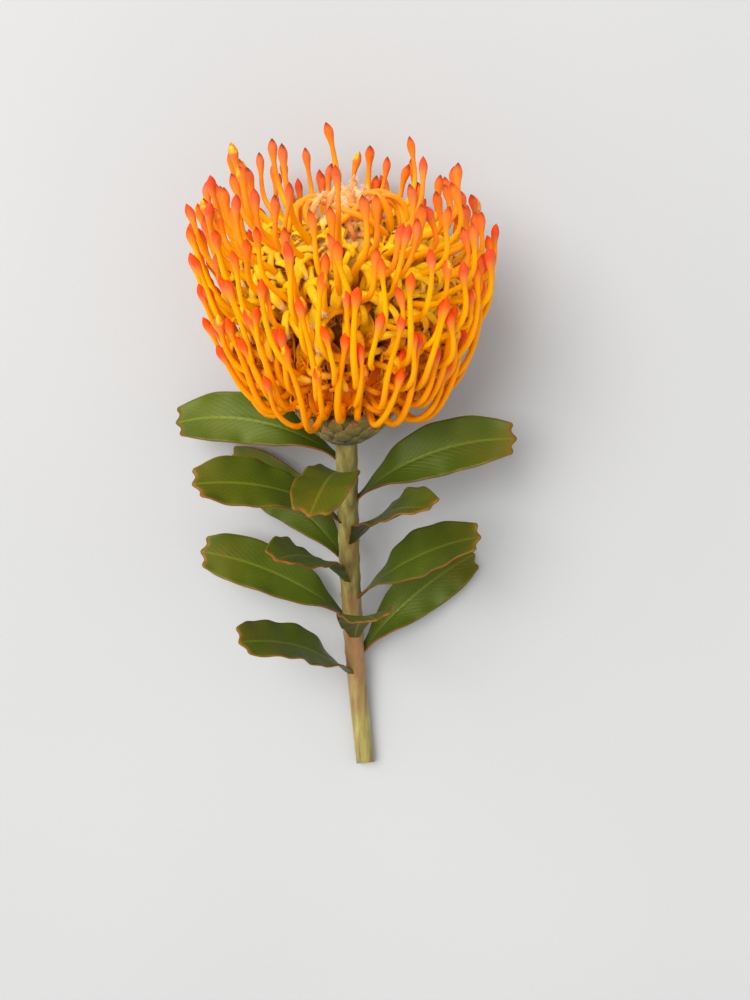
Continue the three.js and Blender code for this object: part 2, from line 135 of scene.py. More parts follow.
# Shares of outward and upward in which they stand, and of sideways at most.
BOAT_STANDS = (0.6, 0.8, 0.3)
HOOK_STANDS = (0.78, 0.65, 0.35)
# How far they turn round as they curl.
BOAT_TURNS = 0.5
HOOK_TURNS = (-0.3, 1.6)
# Two slim ribbons stand beside it, smaller toward the foot of the cushion.
SLIM_ABOVE = 0.15
SLIM_ASIDE = 0.0013
SLIM_ROUND = (60, 100)
SLIM_SIZE = (0.8, 1.2)
SLIM_LOWEST_SIZE = 0.5
SLIM_GROWTH = 1.8
SLIM_STANDS = (0.7, 0.25)
# Ribbons that aren't held upright rise by this at most, growing between two heights.
RIBBON_RISE = 0.75
RIBBON_RISE_OVER = (0.12, 0.47)

# More florets stand in the gaps of the spiral, this far on in number and round, and have
# shorter styles.
BETWEEN_SPAN = (YOUNG_FLORETS - 6, FLORETS - 12)
BETWEEN = (34 / 3, math.radians(-1.6))
BETWEEN_REACH = (0.74, 0.95)
BETWEEN_DROP = (0.0045, 0.0135)
BETWEEN_DROP_SHARE = [(0.008, 1.0), (0.018, 0.4)]
# Others are packed in between. Those at the top of the cushion have styles, and those at
# its foot have short ones.
PACKED_SPAN = (YOUNG_FLORETS - 4, FLORETS - 14, 2)
PACKED = (29 / 3, math.radians(9.2))
PACKED_REACH = (0.86, 1.0)
PACKED_DROP = (0.0, 0.008)
PACKED_STYLES_ABOVE = 0.010
PACKED_STYLES_BELOW = -0.013
PACKED_LOW_REACH = (0.5, 0.78)
# Above this a, a broad ribbon falls into the widest gap that it finds around it.
LOOSE_ABOVE = 0.033
LOOSE_SPREAD = 0.1
GAP_REACH = 0.0064
GAP_SEARCH = 150
GAP_STEP = 10
# Between these places along the axis, ribbons get shorter toward the apex.
YOUNGER_OVER = (0.022, 0.032)
YOUNGER_BY = 0.4

# The ground that the florets stand in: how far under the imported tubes' mouths, where it
# stops, and how uneven it is.
GROUND_DEPTH = 0.0028
GROUND_LOW = -0.0305
GROUND_GRAIN = 0.025

# Young florets at the apex: downy heads laid in toward the axis, and styles bowed out.
BUDS = 84
BUD_LENGTH = 0.0142
BUD_RADIUS = (0.0011, 0.00145)
BUD_FORM = [(0, 0.5), (0.2, 0.58), (0.4, 0.8), (0.55, 1.0), (0.7, 0.9), (0.84, 0.56), (0.95, 0.22)]
BUD_SIDES = 10
BUD_CURL = 62
BUD_SUNK = 0.0012
BUD_SIZE = (0.7, 1.15)
BUDS_OVER = 0.0188
# How far they stand up, lie in toward the axis and stray, from the apex outward.
BUD_UP = (0.9, 0.7)
BUD_INWARD = (0.3, 0.95)
BUD_STRAY = (1.3, 0.6)
# Some near the apex stand up instead, a little larger.
BUD_UPRIGHT_SHARE = 0.18
BUD_UPRIGHT_WITHIN = 0.75
BUD_UPRIGHT = (0.2, 1.2)
BOWS = 15
BOW_LENGTH = 0.03
BOW_RINGS = 16
BOW_SIDES = 10
BOW_POINTS = 18
BOW_RADIUS = (0.0005, 0.0012)
BOW_THICK_AFTER = 10
BOW_PATH = ((0.003, 0.041), (0.010, 0.0495), (0.023, 0.0505), (0.021, 0.032))
# How unevenly they stand round, how wide and how high they bow, and how they sweep round.
BOW_SCATTER = 1.8
BOW_SIZE = (0.5, 1.08)
BOW_RISE = (0.35, 1.25)
BOW_SWEEP = 2.8
BOW_START = 0.004

# Down: hairs three-sided and drawn to a point, as (place along, radius), and how many.
HAIR_LENGTH = 0.0012
HAIR_FORM = [(0.0, 0.00005), (0.0004, 0.00004), (0.0008, 0.00003)]
HAIR_CURL = 95
HAIR_LEAN = (0.55, 0.9, 0.3)
HAIR_SPREAD = 0.3
HAIR_SUNK = 0.00005
RIBBON_HAIRS = (5200, 1700)
BUD_HAIRS = 8000
BRACT_HAIRS = 3600

# Involucre, as r and a up its outside.
CUP = [(0.007, -0.044), (0.0125, -0.040), (0.017, -0.0346), (0.0184, -0.0306)]
CUP_SIDES = 40
BRACTS = 46
BRACT_LENGTH = 0.0085
BRACT_HALF = (0.0005, 0.0031)
BRACT_FORM = [(0, 0.75), (0.2, 0.95), (0.45, 1.0), (0.7, 0.75), (0.9, 0.32)]
BRACT_SIDES = 8
BRACT_CURL = -35
BRACT_SUNK = 0.0003
BRACT_SIZE = (0.85, 1.1)
# How far up the cup they start, and how far up and out of it each one reaches.
BRACTS_UP_TO = 0.72
BRACT_REACH = (0.25, 0.0009)

# Stem: from the head to the cut end, with a knuckle under each leaf.
STEM_RADIUS = (0.0042, 0.0038)
STEM_RINGS = 90
STEM_SIDES = 20
STEM_POINTS = 400
STEM_BENDS = 60
STEM_BEND_LENGTHS = (0.060, 0.055)
STEM_LEAVES_HEAD = -0.0313
KNUCKLE = 0.00035
KNUCKLE_SPREAD = 0.009
KNUCKLE_ON = 0.006
BARK_RIPPLE = 0.00006
CUT_BARK = 0.0009
CUT_PITH = 0.0012
CUT_HOLLOW = 0.0001
PITH_EDGE = 0.0006
CUT_SLANT = 0.45
CUT_SLANT_OVER = 0.0022

# Leaves, from the head down.
LEAVES = 12
LEAF_ROWS, LEAF_COLUMNS = 40, 20
LEAF_FIRST = 0.021
LEAF_STEP = 0.0086
LEAF_SPREAD = 0.7
LEAF_START = 0.6
LEAF_TWIST = 0.55
LEAF_TWIST_OVER = 0.45
# Angles to the stem at the foot and the tip, wider in those crowded under the head.
LEAF_OPENING = (38, 76)
LEAF_OPENING_SCATTER = (6, 8)
LEAF_CROWDED_OVER = 0.030
LEAF_CROWDED = (14, 40)
LEAF_LENGTH = 0.064
LEAF_LENGTH_SCATTER = 0.08
LEAF_HALF = 0.0105
LEAF_HALF_SCATTER = 0.1
LEAF_THICK = 0.0006
LEAF_SUNK = 0.0002
LEAF_SWING = 0.005
# Teeth at the tip: where they start, how deep they are and how far the corners round off.
LEAF_TOOTHED_FROM = 0.8
LEAF_NOTCH = 0.028
LEAF_CORNER = 0.03
# Waves of the edge: height, and turns along the leaf. Then its hollow and its midrib.
LEAF_WAVE = (0.0015, 9)
LEAF_RIPPLE = (0.0006, 31)
LEAF_HOLLOW = 0.16
MIDRIB = (0.0007, 0.09)
# The outline: half width by the share of the length.
LEAF_OUTLINE_V = (0, 0.12, 0.3, 0.5, 0.68, 0.84, 0.95, 1)
LEAF_OUTLINE_W = (0.17, 0.4, 0.7, 0.93, 1, 0.92, 0.64, 0.46)
LEAF_ROUNDING = (-0.07, -0.035, 0, 0.035, 0.07)

# Camera: the head's place in a frame 750 wide and 1000 high, and how it is seen.
FRAME_WIDTH, FRAME_HEIGHT = 750, 1000
HEAD_PIXEL = (345, 325)
FOCAL_PIXELS = 1150
SENSOR = 36
PIXELS_PER_METRE = 2770
VIEW_FROM_AXIS = math.radians(65)


# ---- Placing ---------------------------------------------------------------------------
def draw(i, k):
    """A repeatable draw between 0 and 1 for piece i and property k."""
    x = math.sin(i * 12.9898 + k * 78.233) * 43758.5453
    return x - math.floor(x)


def scatter(i, k):
    """The same between -1 and 1, denser in the middle."""
    return draw(i, k) + draw(i, k + 50) - 1


def lerp(start, end, t):
    return start + (end - start) * t


def share_between(x, start, end):
    """How far x is from start to end, between 0 and 1."""
    return np.clip((x - start) / (end - start), 0, 1)


def run_at(rows, x):
    """Reads a list of rows as straight runs over their first column."""
    return [float(np.interp(x, [row[0] for row in rows], column)) for column in zip(*rows)]


HEAD = Matrix.Translation(HEAD_CENTRE) @ Matrix.Rotation(HEAD_RISE, 4, "X")


def in_head(r, a, turn):
    return HEAD @ Vector((r * math.cos(turn), a, r * math.sin(turn)))


def around_head(turn):
    return HEAD.to_3x3() @ Vector((-math.sin(turn), 0, math.cos(turn)))


def settle(point, height=0.0):
    """Lifts a point that would pass below a height, bending smoothly."""
    over = point.z - height
    return Vector((point.x, point.y, height + (over + math.hypot(over, FLOOR_SOFTNESS)) / 2))


def radius_along(ellipse, a):
    return ellipse[0] * math.sqrt(max(0.0, 1 - (a / ellipse[1]) ** 2))


def cubic(p0, p1, p2, p3, t):
    s = 1 - t
    return [s ** 3 * w + 3 * s * s * t * x + 3 * s * t * t * y + t ** 3 * z
            for w, x, y, z in zip(p0, p1, p2, p3)]


def place_of(number):
    """Where a floret stands along the axis, by its number from the apex."""
    return lerp(FLORET_TOP, FLORET_LOW, (number + 0.5) / FLORETS)


def up_cushion(a):
    """Height on the cushion: 0 at its lowest florets, 1 at its top."""
    return (a - FLORET_LOW) / (FLORET_TOP - FLORET_LOW)


def florets():
    """The open florets: number, place along the axis and away from it, turn, reach, drop."""
    for i in range(YOUNG_FLORETS, FLORETS):
        a = place_of(i)
        yield i, a, radius_along(CUSHION, a), i * GOLDEN_ANGLE, 1.0, 0.0
    for i in range(*BETWEEN_SPAN):
        a = place_of(i + BETWEEN[0])
        drop = lerp(*BETWEEN_DROP, draw(i, 5)) * run_at(BETWEEN_DROP_SHARE, a)[1]
        yield (i + FLORETS, a, radius_along(CUSHION, a), i * GOLDEN_ANGLE + BETWEEN[1],
               lerp(*BETWEEN_REACH, draw(i, 5)), drop)


def packed_florets():
    """Florets pressed in between the others."""
    for i in range(*PACKED_SPAN):
        a = place_of(i + PACKED[0])
        reach = PACKED_REACH if a > 0 else PACKED_LOW_REACH
        yield (i + 2 * FLORETS, a, radius_along(CUSHION, a), i * GOLDEN_ANGLE + PACKED[1],
               lerp(*reach, draw(i, 17)), lerp(*PACKED_DROP, draw(i, 17)))


def outward(r, a, turn):
    """Straight off the cushion."""
    across = in_head(r / CUSHION[0] ** 2, a / CUSHION[1] ** 2, turn)
    return (across - in_head(0, 0, 0)).normalized()


def style_line(i, a, r, turn, reach, drop):
    """Points of a style: out of the receptacle, off the cushion, then up to its tip."""
    _, tip_r, tip_a, lean = run_at(STYLE_RUNS, a)
    lean -= STYLE_TILT * math.cos(turn)
    drop += STYLE_SHORT_FLANK * max(0, math.cos(turn)) * share_between(a, *STYLE_SHORT_OVER)
    tip = (lerp(r, tip_r, reach) + STYLE_SCATTER[0] * scatter(i, 1),
           lerp(a, tip_a - drop, reach) + STYLE_SCATTER[1] * scatter(i, 2))
    length = math.hypot(tip[0] - r, tip[1] - a)
    out = Vector((r / CUSHION[0] ** 2, a / CUSHION[1] ** 2)).normalized()
    out.y += run_at(STYLE_RISE, a)[1]
    out.normalize()
    leave, arrive = (share * length for share in STYLE_REACH)
    bend_low = (r + out.x * leave, a + out.y * leave)
    bend_high = (tip[0] - math.sin(math.radians(lean)) * arrive,
                 tip[1] - math.cos(math.radians(lean)) * arrive)
    sway = STYLE_SCATTER[2] * scatter(i, 3)
    line = [in_head(r * RECEPTACLE[0] / CUSHION[0] - out.x * STYLE_ROOT,
                    a * RECEPTACLE[1] / CUSHION[1] - out.y * STYLE_ROOT, turn)]
    for k in range(STYLE_POINTS + 1):
        t = k / STYLE_POINTS
        line_r, line_a = cubic((r, a), bend_low, bend_high, tip, t)
        bow = STYLE_BOW[0] * scatter(i, 15) * math.sin(math.pi * t)
        bow += STYLE_BOW[1] * scatter(i, 16) * math.sin(2 * math.pi * t)
        line.append(in_head(line_r, line_a, turn + sway * t + bow))
    onward = (line[-1] - line[-2]).normalized()
    aside = (around_head(turn) * scatter(i, 4) * KNOB_NOD[0]
             + outward(r, a, turn) * scatter(i, 6) * KNOB_NOD[1])
    for share in KNOB_BEND:
        onto = (onward + aside * share).normalized()
        line.append(line[-1] + onto * KNOB_LENGTH / len(KNOB_BEND))
    return [settle(point) for point in line]


# ---- Modelling -------------------------------------------------------------------------
def deselect():
    bpy.ops.object.select_all(action="DESELECT")


def pick(piece):
    deselect()
    piece.select_set(True)
    bpy.context.view_layer.objects.active = piece


def draw_out(now, stations):
    """Extrudes the selected end along X through stations of x, height and width."""
    for station in stations:
        onward = (station[0] - now[0], 0, 0)
        bpy.ops.mesh.extrude_region_move(TRANSFORM_OT_translate={"value": onward})
        bpy.ops.transform.resize(
            value=(1, station[1] / now[1], station[2] / now[2]),
            center_override=(station[0], 0, 0))
        now = station


def close_tip(distance):
    """Draws the selected end out to a point."""
    bpy.ops.mesh.extrude_region_move(TRANSFORM_OT_translate={"value": (distance, 0, 0)})
    bpy.ops.mesh.merge(type="COLLAPSE")


def start_section(name, sides, station, filled):
    """A ring across X at a station, all of it selected in edit mode."""
    deselect()
    bpy.ops.mesh.primitive_circle_add(
        vertices=sides, radius=1, fill_type="NGON" if filled else "NOTHING",
        location=(station[0], 0, 0), rotation=(0, math.pi / 2, 0))
    piece = bpy.context.object
    piece.name = name
    bpy.ops.object.transform_apply(location=True, rotation=True, scale=True)
    bpy.ops.object.mode_set(mode="EDIT")
    bpy.ops.mesh.select_all(action="SELECT")
    bpy.ops.transform.resize(
        value=(1, station[1], station[2]), center_override=(station[0], 0, 0))
    return piece


def close_piece():
    """Turns the faces outward, ends edit mode and puts the mesh in order."""
    bpy.ops.mesh.select_all(action="SELECT")
    bpy.ops.mesh.normals_make_consistent(inside=False)
    bpy.ops.object.mode_set(mode="OBJECT")
    put_in_order(bpy.context.object)
    bpy.ops.object.shade_smooth()


def put_in_order(piece):
    """Orders points by place and faces by their points.

    Extruding can leave them in another order each time, and the hairs are drawn by face.
    """
    now = places(piece)
    order = np.lexsort(now.T[::-1])
    rank = np.argsort(order).tolist()
    faces = [[rank[k] for k in face.vertices] for face in piece.data.polygons]
    piece.data.clear_geometry()
    piece.data.from_pydata(now[order].tolist(), [], sorted(faces, key=sorted))


def round_stations(form):
    """Stations of x, height and width for a round piece, from its places and radii."""
    return [(x, size, size) for x, size in form]


def draw_piece(name, sides, stations, point=None, filled=True):
    """A piece drawn out along X through its stations, and to a point if one is given."""
    piece = start_section(name, sides, stations[0], filled)
    draw_out(stations[0], stations[1:])
    if point is not None:
        close_tip(point - stations[-1][0])
    close_piece()
    return piece


def thicken(piece, thickness, offset=0.0):
    """Gives a sheet its thickness."""
    solid = piece.modifiers.new("thickness", "SOLIDIFY")
    solid.thickness = thickness
    solid.offset = offset
    pick(piece)
    bpy.ops.object.modifier_apply(modifier=solid.name)


def mark(piece, name, values):
    """Keeps a number for each vertex, for the material to read."""
    layer = piece.data.attributes.get(name) or piece.data.attributes.new(name, "FLOAT", "POINT")
    layer.data.foreach_set("value", np.asarray(values, dtype=np.float32))


def mark_along(piece, length):
    mark(piece, "along", places(piece)[:, 0] / length)


def marks_of(piece, name):
    return np.array([item.value for item in piece.data.attributes[name].data])


def places(piece):
    found = np.empty(len(piece.data.vertices) * 3, dtype=np.float32)
    piece.data.vertices.foreach_get("co", found)
    return found.reshape(-1, 3)


def replace_places(piece, values):
    piece.data.vertices.foreach_set("co", np.asarray(values, dtype=np.float32).ravel())
    piece.data.update()


def copy_of(pattern):
    piece = pattern.copy()
    piece.data = pattern.data.copy()
    bpy.context.scene.collection.objects.link(piece)
    return piece


def bend_along(piece, line):
    """Lays a straight piece on X along a line of points."""
    curve = bpy.data.curves.new("line", "CURVE")
    curve.dimensions = "3D"
    curve.use_stretch = True
    curve.use_deform_bounds = True
    curve.twist_mode = "MINIMUM"
    spline = curve.splines.new("POLY")
    spline.points.add(len(line) - 1)
    for knot, point in zip(spline.points, line):
        knot.co = (*point, 1)
    path = bpy.data.objects.new("line", curve)
    bpy.context.scene.collection.objects.link(path)
    bend = piece.modifiers.new("bend", "CURVE")
    bend.object = path
    bend.deform_axis = "POS_X"
    pick(piece)
    bpy.ops.object.modifier_apply(modifier=bend.name)
    bpy.data.objects.remove(path)
    bpy.data.curves.remove(curve)


def join(pieces, name):
    pick(pieces[0])
    for piece in pieces:
        piece.select_set(True)
    bpy.ops.object.join()
    whole = bpy.context.object
    whole.name = name
    whole.data.name = name
    return whole


def keep_above_floor(piece):
    now = places(piece)
    now[:, 2] = np.maximum(now[:, 2], 0.0)
    replace_places(piece, now)


def dress(piece, material, slot, *nodes):
    piece.data.materials.clear()
    piece.data.materials.append(material)
    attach(piece, "root")
    if nodes:
        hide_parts(*nodes)


# ---- Materials -------------------------------------------------------------------------
def new_material(name, roughness, **constants):
    """A material whose shader holds the numbers that are the same all over it."""
    material = bpy.data.materials.new(name)
    material.use_nodes = True
    shader = material.node_tree.nodes["Principled BSDF"]
    shader.inputs["Roughness"].default_value = roughness
    for socket, value in constants.items():
        shader.inputs[socket.replace("_", " ")].default_value = value
    return material, material.node_tree, shader


def fill(tree, socket, value):
    if isinstance(value, bpy.types.NodeSocket):
        tree.links.new(value, socket)
    else:
        socket.default_value = value


def attribute(tree, name):
    made = tree.nodes.new("ShaderNodeAttribute")
    made.attribute_name = name
    return made.outputs["Fac"]


def arithmetic(tree, operation, first, second=0.0):
    made = tree.nodes.new("ShaderNodeMath")
    made.operation = operation
    fill(tree, made.inputs[0], first)
    fill(tree, made.inputs[1], second)
    return made.outputs[0]


def times(tree, first, second):
    return arithmetic(tree, "MULTIPLY", first, second)


def plus(tree, first, second):
    return arithmetic(tree, "ADD", first, second)


def blend_colors(tree, share, first, second, how="MIX"):
    made = tree.nodes.new("ShaderNodeMix")
    made.data_type = "RGBA"
    made.blend_type = how
    fill(tree, made.inputs["Factor"], share)
    for socket, value in ((made.inputs[6], first), (made.inputs[7], second)):
        fill(tree, socket, value if isinstance(value, bpy.types.NodeSocket) else (*value, 1))
    return made.outputs[2]


def ramp(tree, share, stops):
    """Colours or greys along a share, as (place, colour)."""
    made = tree.nodes.new("ShaderNodeValToRGB")
    fill(tree, made.inputs["Fac"], share)
    elements = made.color_ramp.elements
    while len(elements) < len(stops):
        elements.new(0.5)
    for element, (place, color) in zip(elements, stops):
        element.position = place
        element.color = (*color, 1) if isinstance(color, tuple) else (color, color, color, 1)
    return made.outputs["Color"]


def noise(tree, scale, detail=3.0, stretch=(1, 1, 1)):
    """Noise in the object's own coordinates; scale is in patches a metre."""
    place = tree.nodes.new("ShaderNodeTexCoord")
    mapping = tree.nodes.new("ShaderNodeMapping")
    mapping.inputs["Scale"].default_value = stretch
    made = tree.nodes.new("ShaderNodeTexNoise")
    tree.links.new(place.outputs["Object"], mapping.inputs["Vector"])
    tree.links.new(mapping.outputs["Vector"], made.inputs["Vector"])
    made.inputs["Scale"].default_value = scale
    made.inputs["Detail"].default_value = detail
    return made.outputs["Fac"]


def tinted(tree, color, tint, share, stops):
    """Lays a tint over a colour as a share of something rises through its stops."""
    return blend_colors(tree, ramp(tree, share, stops), color, tint)


def darkened_where(tree, color, strength, patches, stops):
    """Darkens a colour where a pattern does: patches of noise, or the grooves between a ribbon's
    ribs as painted shade.
    """
    return blend_colors(tree, strength, color, ramp(tree, patches, stops), "MULTIPLY")


def paint(tree, shader, color):
    tree.links.new(color, shader.inputs["Base Color"])


def bump(tree, shader, height, strength, distance):
    made = tree.nodes.new("ShaderNodeBump")
    made.inputs["Strength"].default_value = strength
    made.inputs["Distance"].default_value = distance
    fill(tree, made.inputs["Height"], height)
    tree.links.new(made.outputs["Normal"], shader.inputs["Normal"])


def style_material():
    """Waxy: golden over most of the length, orange near the knob, coral with a red point."""
    material, tree, shader = new_material(
        "style", 0.42, Specular_IOR_Level=0.2, Specular_Tint=(1, 0.5, 0.08, 1),
        Coat_Weight=0.03, Coat_Roughness=0.2, Subsurface_Weight=0.08, Subsurface_Scale=0.0012)
    along = attribute(tree, "along")
    tone = attribute(tree, "tone")
    height = attribute(tree, "height")
    risen = times(tree, times(tree, height, height), 0.3)
    shifted = plus(tree, along, times(tree, tone, 0.14))
    shifted = plus(tree, arithmetic(tree, "SUBTRACT", shifted, 0.11), risen)
    body = ramp(tree, shifted, [
        (0.0, (0.99, 0.44, 0.0)), (0.6, (0.99, 0.46, 0.0)), (0.78, (0.99, 0.42, 0.0)),
        (0.9, (0.98, 0.34, 0.001)), (1.0, (0.94, 0.24, 0.005)),
    ])
    body = tinted(tree, body, (0.98, 0.27, 0.0), height, [(0.12, 0.75), (0.5, 0.0)])
    flushed = times(tree, ramp(tree, height, [(0.5, 0.0), (0.85, 0.7)]),
                    ramp(tree, shifted, [(0.6, 0.0), (1.0, 1.0)]))
    body = blend_colors(tree, flushed, body, (0.9, 0.26, 0.025))
    warm = ramp(tree, along, [
        (0.885, (0.96, 0.28, 0.008)), (0.93, (0.93, 0.22, 0.022)), (0.966, (0.86, 0.13, 0.015)),
        (0.98, (0.6, 0.06, 0.008)), (0.992, (0.2, 0.05, 0.008)),
    ])
    salmon = ramp(tree, along, [
        (0.885, (0.92, 0.25, 0.02)), (0.93, (0.82, 0.185, 0.05)), (0.966, (0.74, 0.115, 0.035)),
        (0.98, (0.45, 0.05, 0.014)), (0.992, (0.12, 0.035, 0.008)),
    ])
    knob = tinted(tree, warm, salmon, tone, [(0.25, 0.0), (0.65, 0.95)])
    ripe = times(tree, ramp(tree, tone, [(0.68, 0.0), (0.86, 0.75)]),
                 ramp(tree, along, [(0.92, 0.0), (0.96, 1.0)]))
    knob = blend_colors(tree, ripe, knob, (0.76, 0.055, 0.02))
    low_down = times(tree, ramp(tree, height, [(0.3, 0.85), (0.7, 0.0)]),
                     ramp(tree, along, [(0.925, 0.0), (0.972, 1.0)]))
    knob = blend_colors(tree, low_down, knob, (0.9, 0.065, 0.004))
    color = tinted(tree, body, knob, along, [(0.865, 0.0), (0.925, 1.0)])
    pollen = ramp(tree, attribute(tree, "pollen"), [(0.3, 0.0), (0.75, 0.9)])
    grains = ramp(tree, noise(tree, 900, 3), [(0.35, 0.25), (0.6, 1.0)])
    color = blend_colors(tree, times(tree, pollen, grains), color, (0.95, 0.55, 0.02))
    paint(tree, shader, darkened_where(tree, color, 0.6, noise(tree, 260, 2), [(0.35, 0.88), (0.7, 1.0)]))
    shader.inputs["Subsurface Radius"].default_value = (1.0, 0.5, 0.08)
    bump(tree, shader, noise(tree, 2600, 2), 0.12, 0.0002)
    return material


def perianth_material():
    """Ribbons: bright yellow high on the cushion, rust below, paler and downy at the tip."""
    material, tree, shader = new_material(
        "perianth", 0.32, Specular_IOR_Level=0.3, Specular_Tint=(1, 0.6, 0.12, 1),
        Coat_Weight=0.05, Coat_Roughness=0.2, Subsurface_Weight=0.1, Subsurface_Scale=0.0012)
    along = attribute(tree, "along")
    height = attribute(tree, "height")
    tone = attribute(tree, "tone")
    across = attribute(tree, "across")
    mixed = plus(tree, height, times(tree, tone, 0.3))
    yellow = ramp(tree, along, [
        (0.0, (0.8, 0.3, 0.001)), (0.2, (0.98, 0.47, 0.002)), (0.5, (1.0, 0.62, 0.004)),
        (0.84, (1.0, 0.62, 0.02)), (0.98, (0.97, 0.74, 0.36)),
    ])
    rust = ramp(tree, along, [
        (0.0, (0.4, 0.08, 0.0)), (0.3, (0.94, 0.28, 0.0)), (0.75, (0.96, 0.3, 0.001)),
        (1.0, (0.93, 0.33, 0.01)),
    ])
    lining = ramp(tree, along, [
        (0.0, (0.6, 0.12, 0.0)), (0.35, (0.96, 0.2, 0.0)), (0.8, (0.96, 0.17, 0.0)),
        (1.0, (0.95, 0.24, 0.002)),
    ])
    inside = times(tree, attribute(tree, "inside"), 0.9)
    rust = blend_colors(tree, inside, rust, lining)
    color = tinted(tree, rust, yellow, mixed, [(0.38, 0.0), (0.72, 1.0)])
    # Painted highlight: the ribbons turn bright yellow-orange toward their rims.
    rim_highlight_share = arithmetic(tree, "ABSOLUTE", across)
    color = tinted(tree, color, (0.99, 0.5, 0.02), rim_highlight_share, [(0.72, 0.0), (0.98, 0.5)])
    rib_relief_and_shade = arithmetic(tree, "SINE", times(tree, across, 13.0))
    # Painted shade: the grooves between the ribs are darkened in colour, while the bump below
    # raises the ribs.
    color = darkened_where(tree, color, 0.35, rib_relief_and_shade, [(0.0, 0.8), (0.6, 1.0)])
    color = darkened_where(tree, color, 0.6, noise(tree, 320, 3), [(0.3, 0.76), (0.62, 1.0)])
    paint(tree, shader, color)
    shader.inputs["Subsurface Radius"].default_value = (1.0, 0.5, 0.1)
    bump(tree, shader, rib_relief_and_shade, 0.22, 0.0001)
    return material


def young_style_material():
    """Salmon and pale at the ends, where a bowed style is still held."""
    material, tree, shader = new_material(
        "young_style", 0.45, Specular_IOR_Level=0.25, Specular_Tint=(1, 0.6, 0.3, 1),
        Coat_Weight=0.05, Coat_Roughness=0.3)
    color = ramp(tree, attribute(tree, "along"), [
        (0.0, (0.95, 0.66, 0.45)), (0.1, (0.93, 0.42, 0.18)), (0.25, (0.94, 0.28, 0.035)),
        (0.6, (0.96, 0.29, 0.004)), (1.0, (0.98, 0.42, 0.002)),
    ])
    paint(tree, shader, darkened_where(tree, color, 0.5, noise(tree, 420, 3), [(0.3, 0.84), (0.7, 1.0)]))
    bump(tree, shader, noise(tree, 2400, 2), 0.15, 0.0002)
    return material


def bud_material():
    """Closed florets: yellow at the foot, silky and pale toward the head."""
    material, tree, shader = new_material(
        "bud", 0.55, Specular_IOR_Level=0.3, Sheen_Weight=0.2, Sheen_Roughness=0.4)
    color = ramp(tree, attribute(tree, "along"), [
        (0.0, (0.9, 0.46, 0.006)), (0.3, (0.97, 0.62, 0.03)), (0.58, (0.98, 0.72, 0.2)),
        (0.82, (0.98, 0.77, 0.4)), (1.0, (0.92, 0.64, 0.38)),
    ])
    tone = attribute(tree, "tone")
    color = tinted(tree, color, (0.96, 0.38, 0.1), tone, [(0.78, 0.0), (0.86, 0.85)])
    paint(tree, shader, darkened_where(tree, color, 0.7, noise(tree, 600, 4), [(0.3, 0.7), (0.65, 1.0)]))
    bump(tree, shader, noise(tree, 2600, 4), 0.2, 0.0002)
    return material


def wool_material(name, low, high):
    """Down: pale hairs, greyer at their feet."""
    material, tree, shader = new_material(name, 0.8, Sheen_Weight=0.2, Sheen_Roughness=0.4)
    color = blend_colors(tree, attribute(tree, "along"), low, high)
    paint(tree, shader, darkened_where(tree, color, 0.6, noise(tree, 500, 2), [(0.3, 0.75), (0.7, 1.1)]))
    return material


def ground_material():
    """Between the florets: rusty brown down, darkened with painted shade of the deep gaps, most low
    on the cushion.
    """
    material, tree, shader = new_material("floret_ground", 0.8)
    # Painted shade: the dark low colours stand for the shade down in the gaps. Higher up, the down
    # is paler and golden.
    low = ramp(tree, noise(tree, 420, 4), [(0.3, (0.12, 0.03, 0.002)), (0.7, (0.5, 0.16, 0.006))])
    high = ramp(tree, noise(tree, 420, 4), [(0.3, (0.5, 0.24, 0.003)), (0.7, (0.9, 0.52, 0.02))])
    height = attribute(tree, "height")
    color = tinted(tree, low, high, height, [(0.35, 0.0), (0.7, 1.0)])
    paint(tree, shader, tinted(tree, color, (0.95, 0.68, 0.16), height, [(0.76, 0.0), (0.88, 0.8)]))
    bump(tree, shader, noise(tree, 1400, 4), 0.7, 0.0008)
    return material


def bract_material():
    """Olive scales with rusty points."""
    material, tree, shader = new_material("bract", 0.7, Specular_IOR_Level=0.25, Sheen_Weight=0.1)
    color = ramp(tree, attribute(tree, "along"), [
        (0.0, (0.14, 0.13, 0.02)), (0.55, (0.27, 0.2, 0.04)), (0.85, (0.36, 0.14, 0.04)),
        (1.0, (0.3, 0.07, 0.02)),
    ])
    paint(tree, shader, darkened_where(tree, color, 0.7, noise(tree, 700, 4), [(0.3, 0.6), (0.7, 1.2)]))
    bump(tree, shader, noise(tree, 2000, 3), 0.4, 0.0003)
    return material


def stem_material():
    """Young bark: olive flushed with red, streaked along its length."""
    material, tree, shader = new_material("stem_bark", 0.6, Sheen_Weight=0.15)
    streaks = noise(tree, 420, 5, stretch=(1, 0.12, 1))
    color = ramp(tree, streaks, [
        (0.3, (0.13, 0.1, 0.02)), (0.55, (0.28, 0.23, 0.05)), (0.75, (0.42, 0.36, 0.12)),
    ])
    flush = noise(tree, 45, 2)
    color = tinted(tree, color, (0.24, 0.085, 0.028), flush, [(0.42, 0.0), (0.68, 0.75)])
    pith = attribute(tree, "pith")
    paint(tree, shader, tinted(tree, color, (0.62, 0.55, 0.3), pith, [(0.4, 0.0), (0.6, 1.0)]))
    bump(tree, shader, streaks, 0.6, 0.0005)
    return material


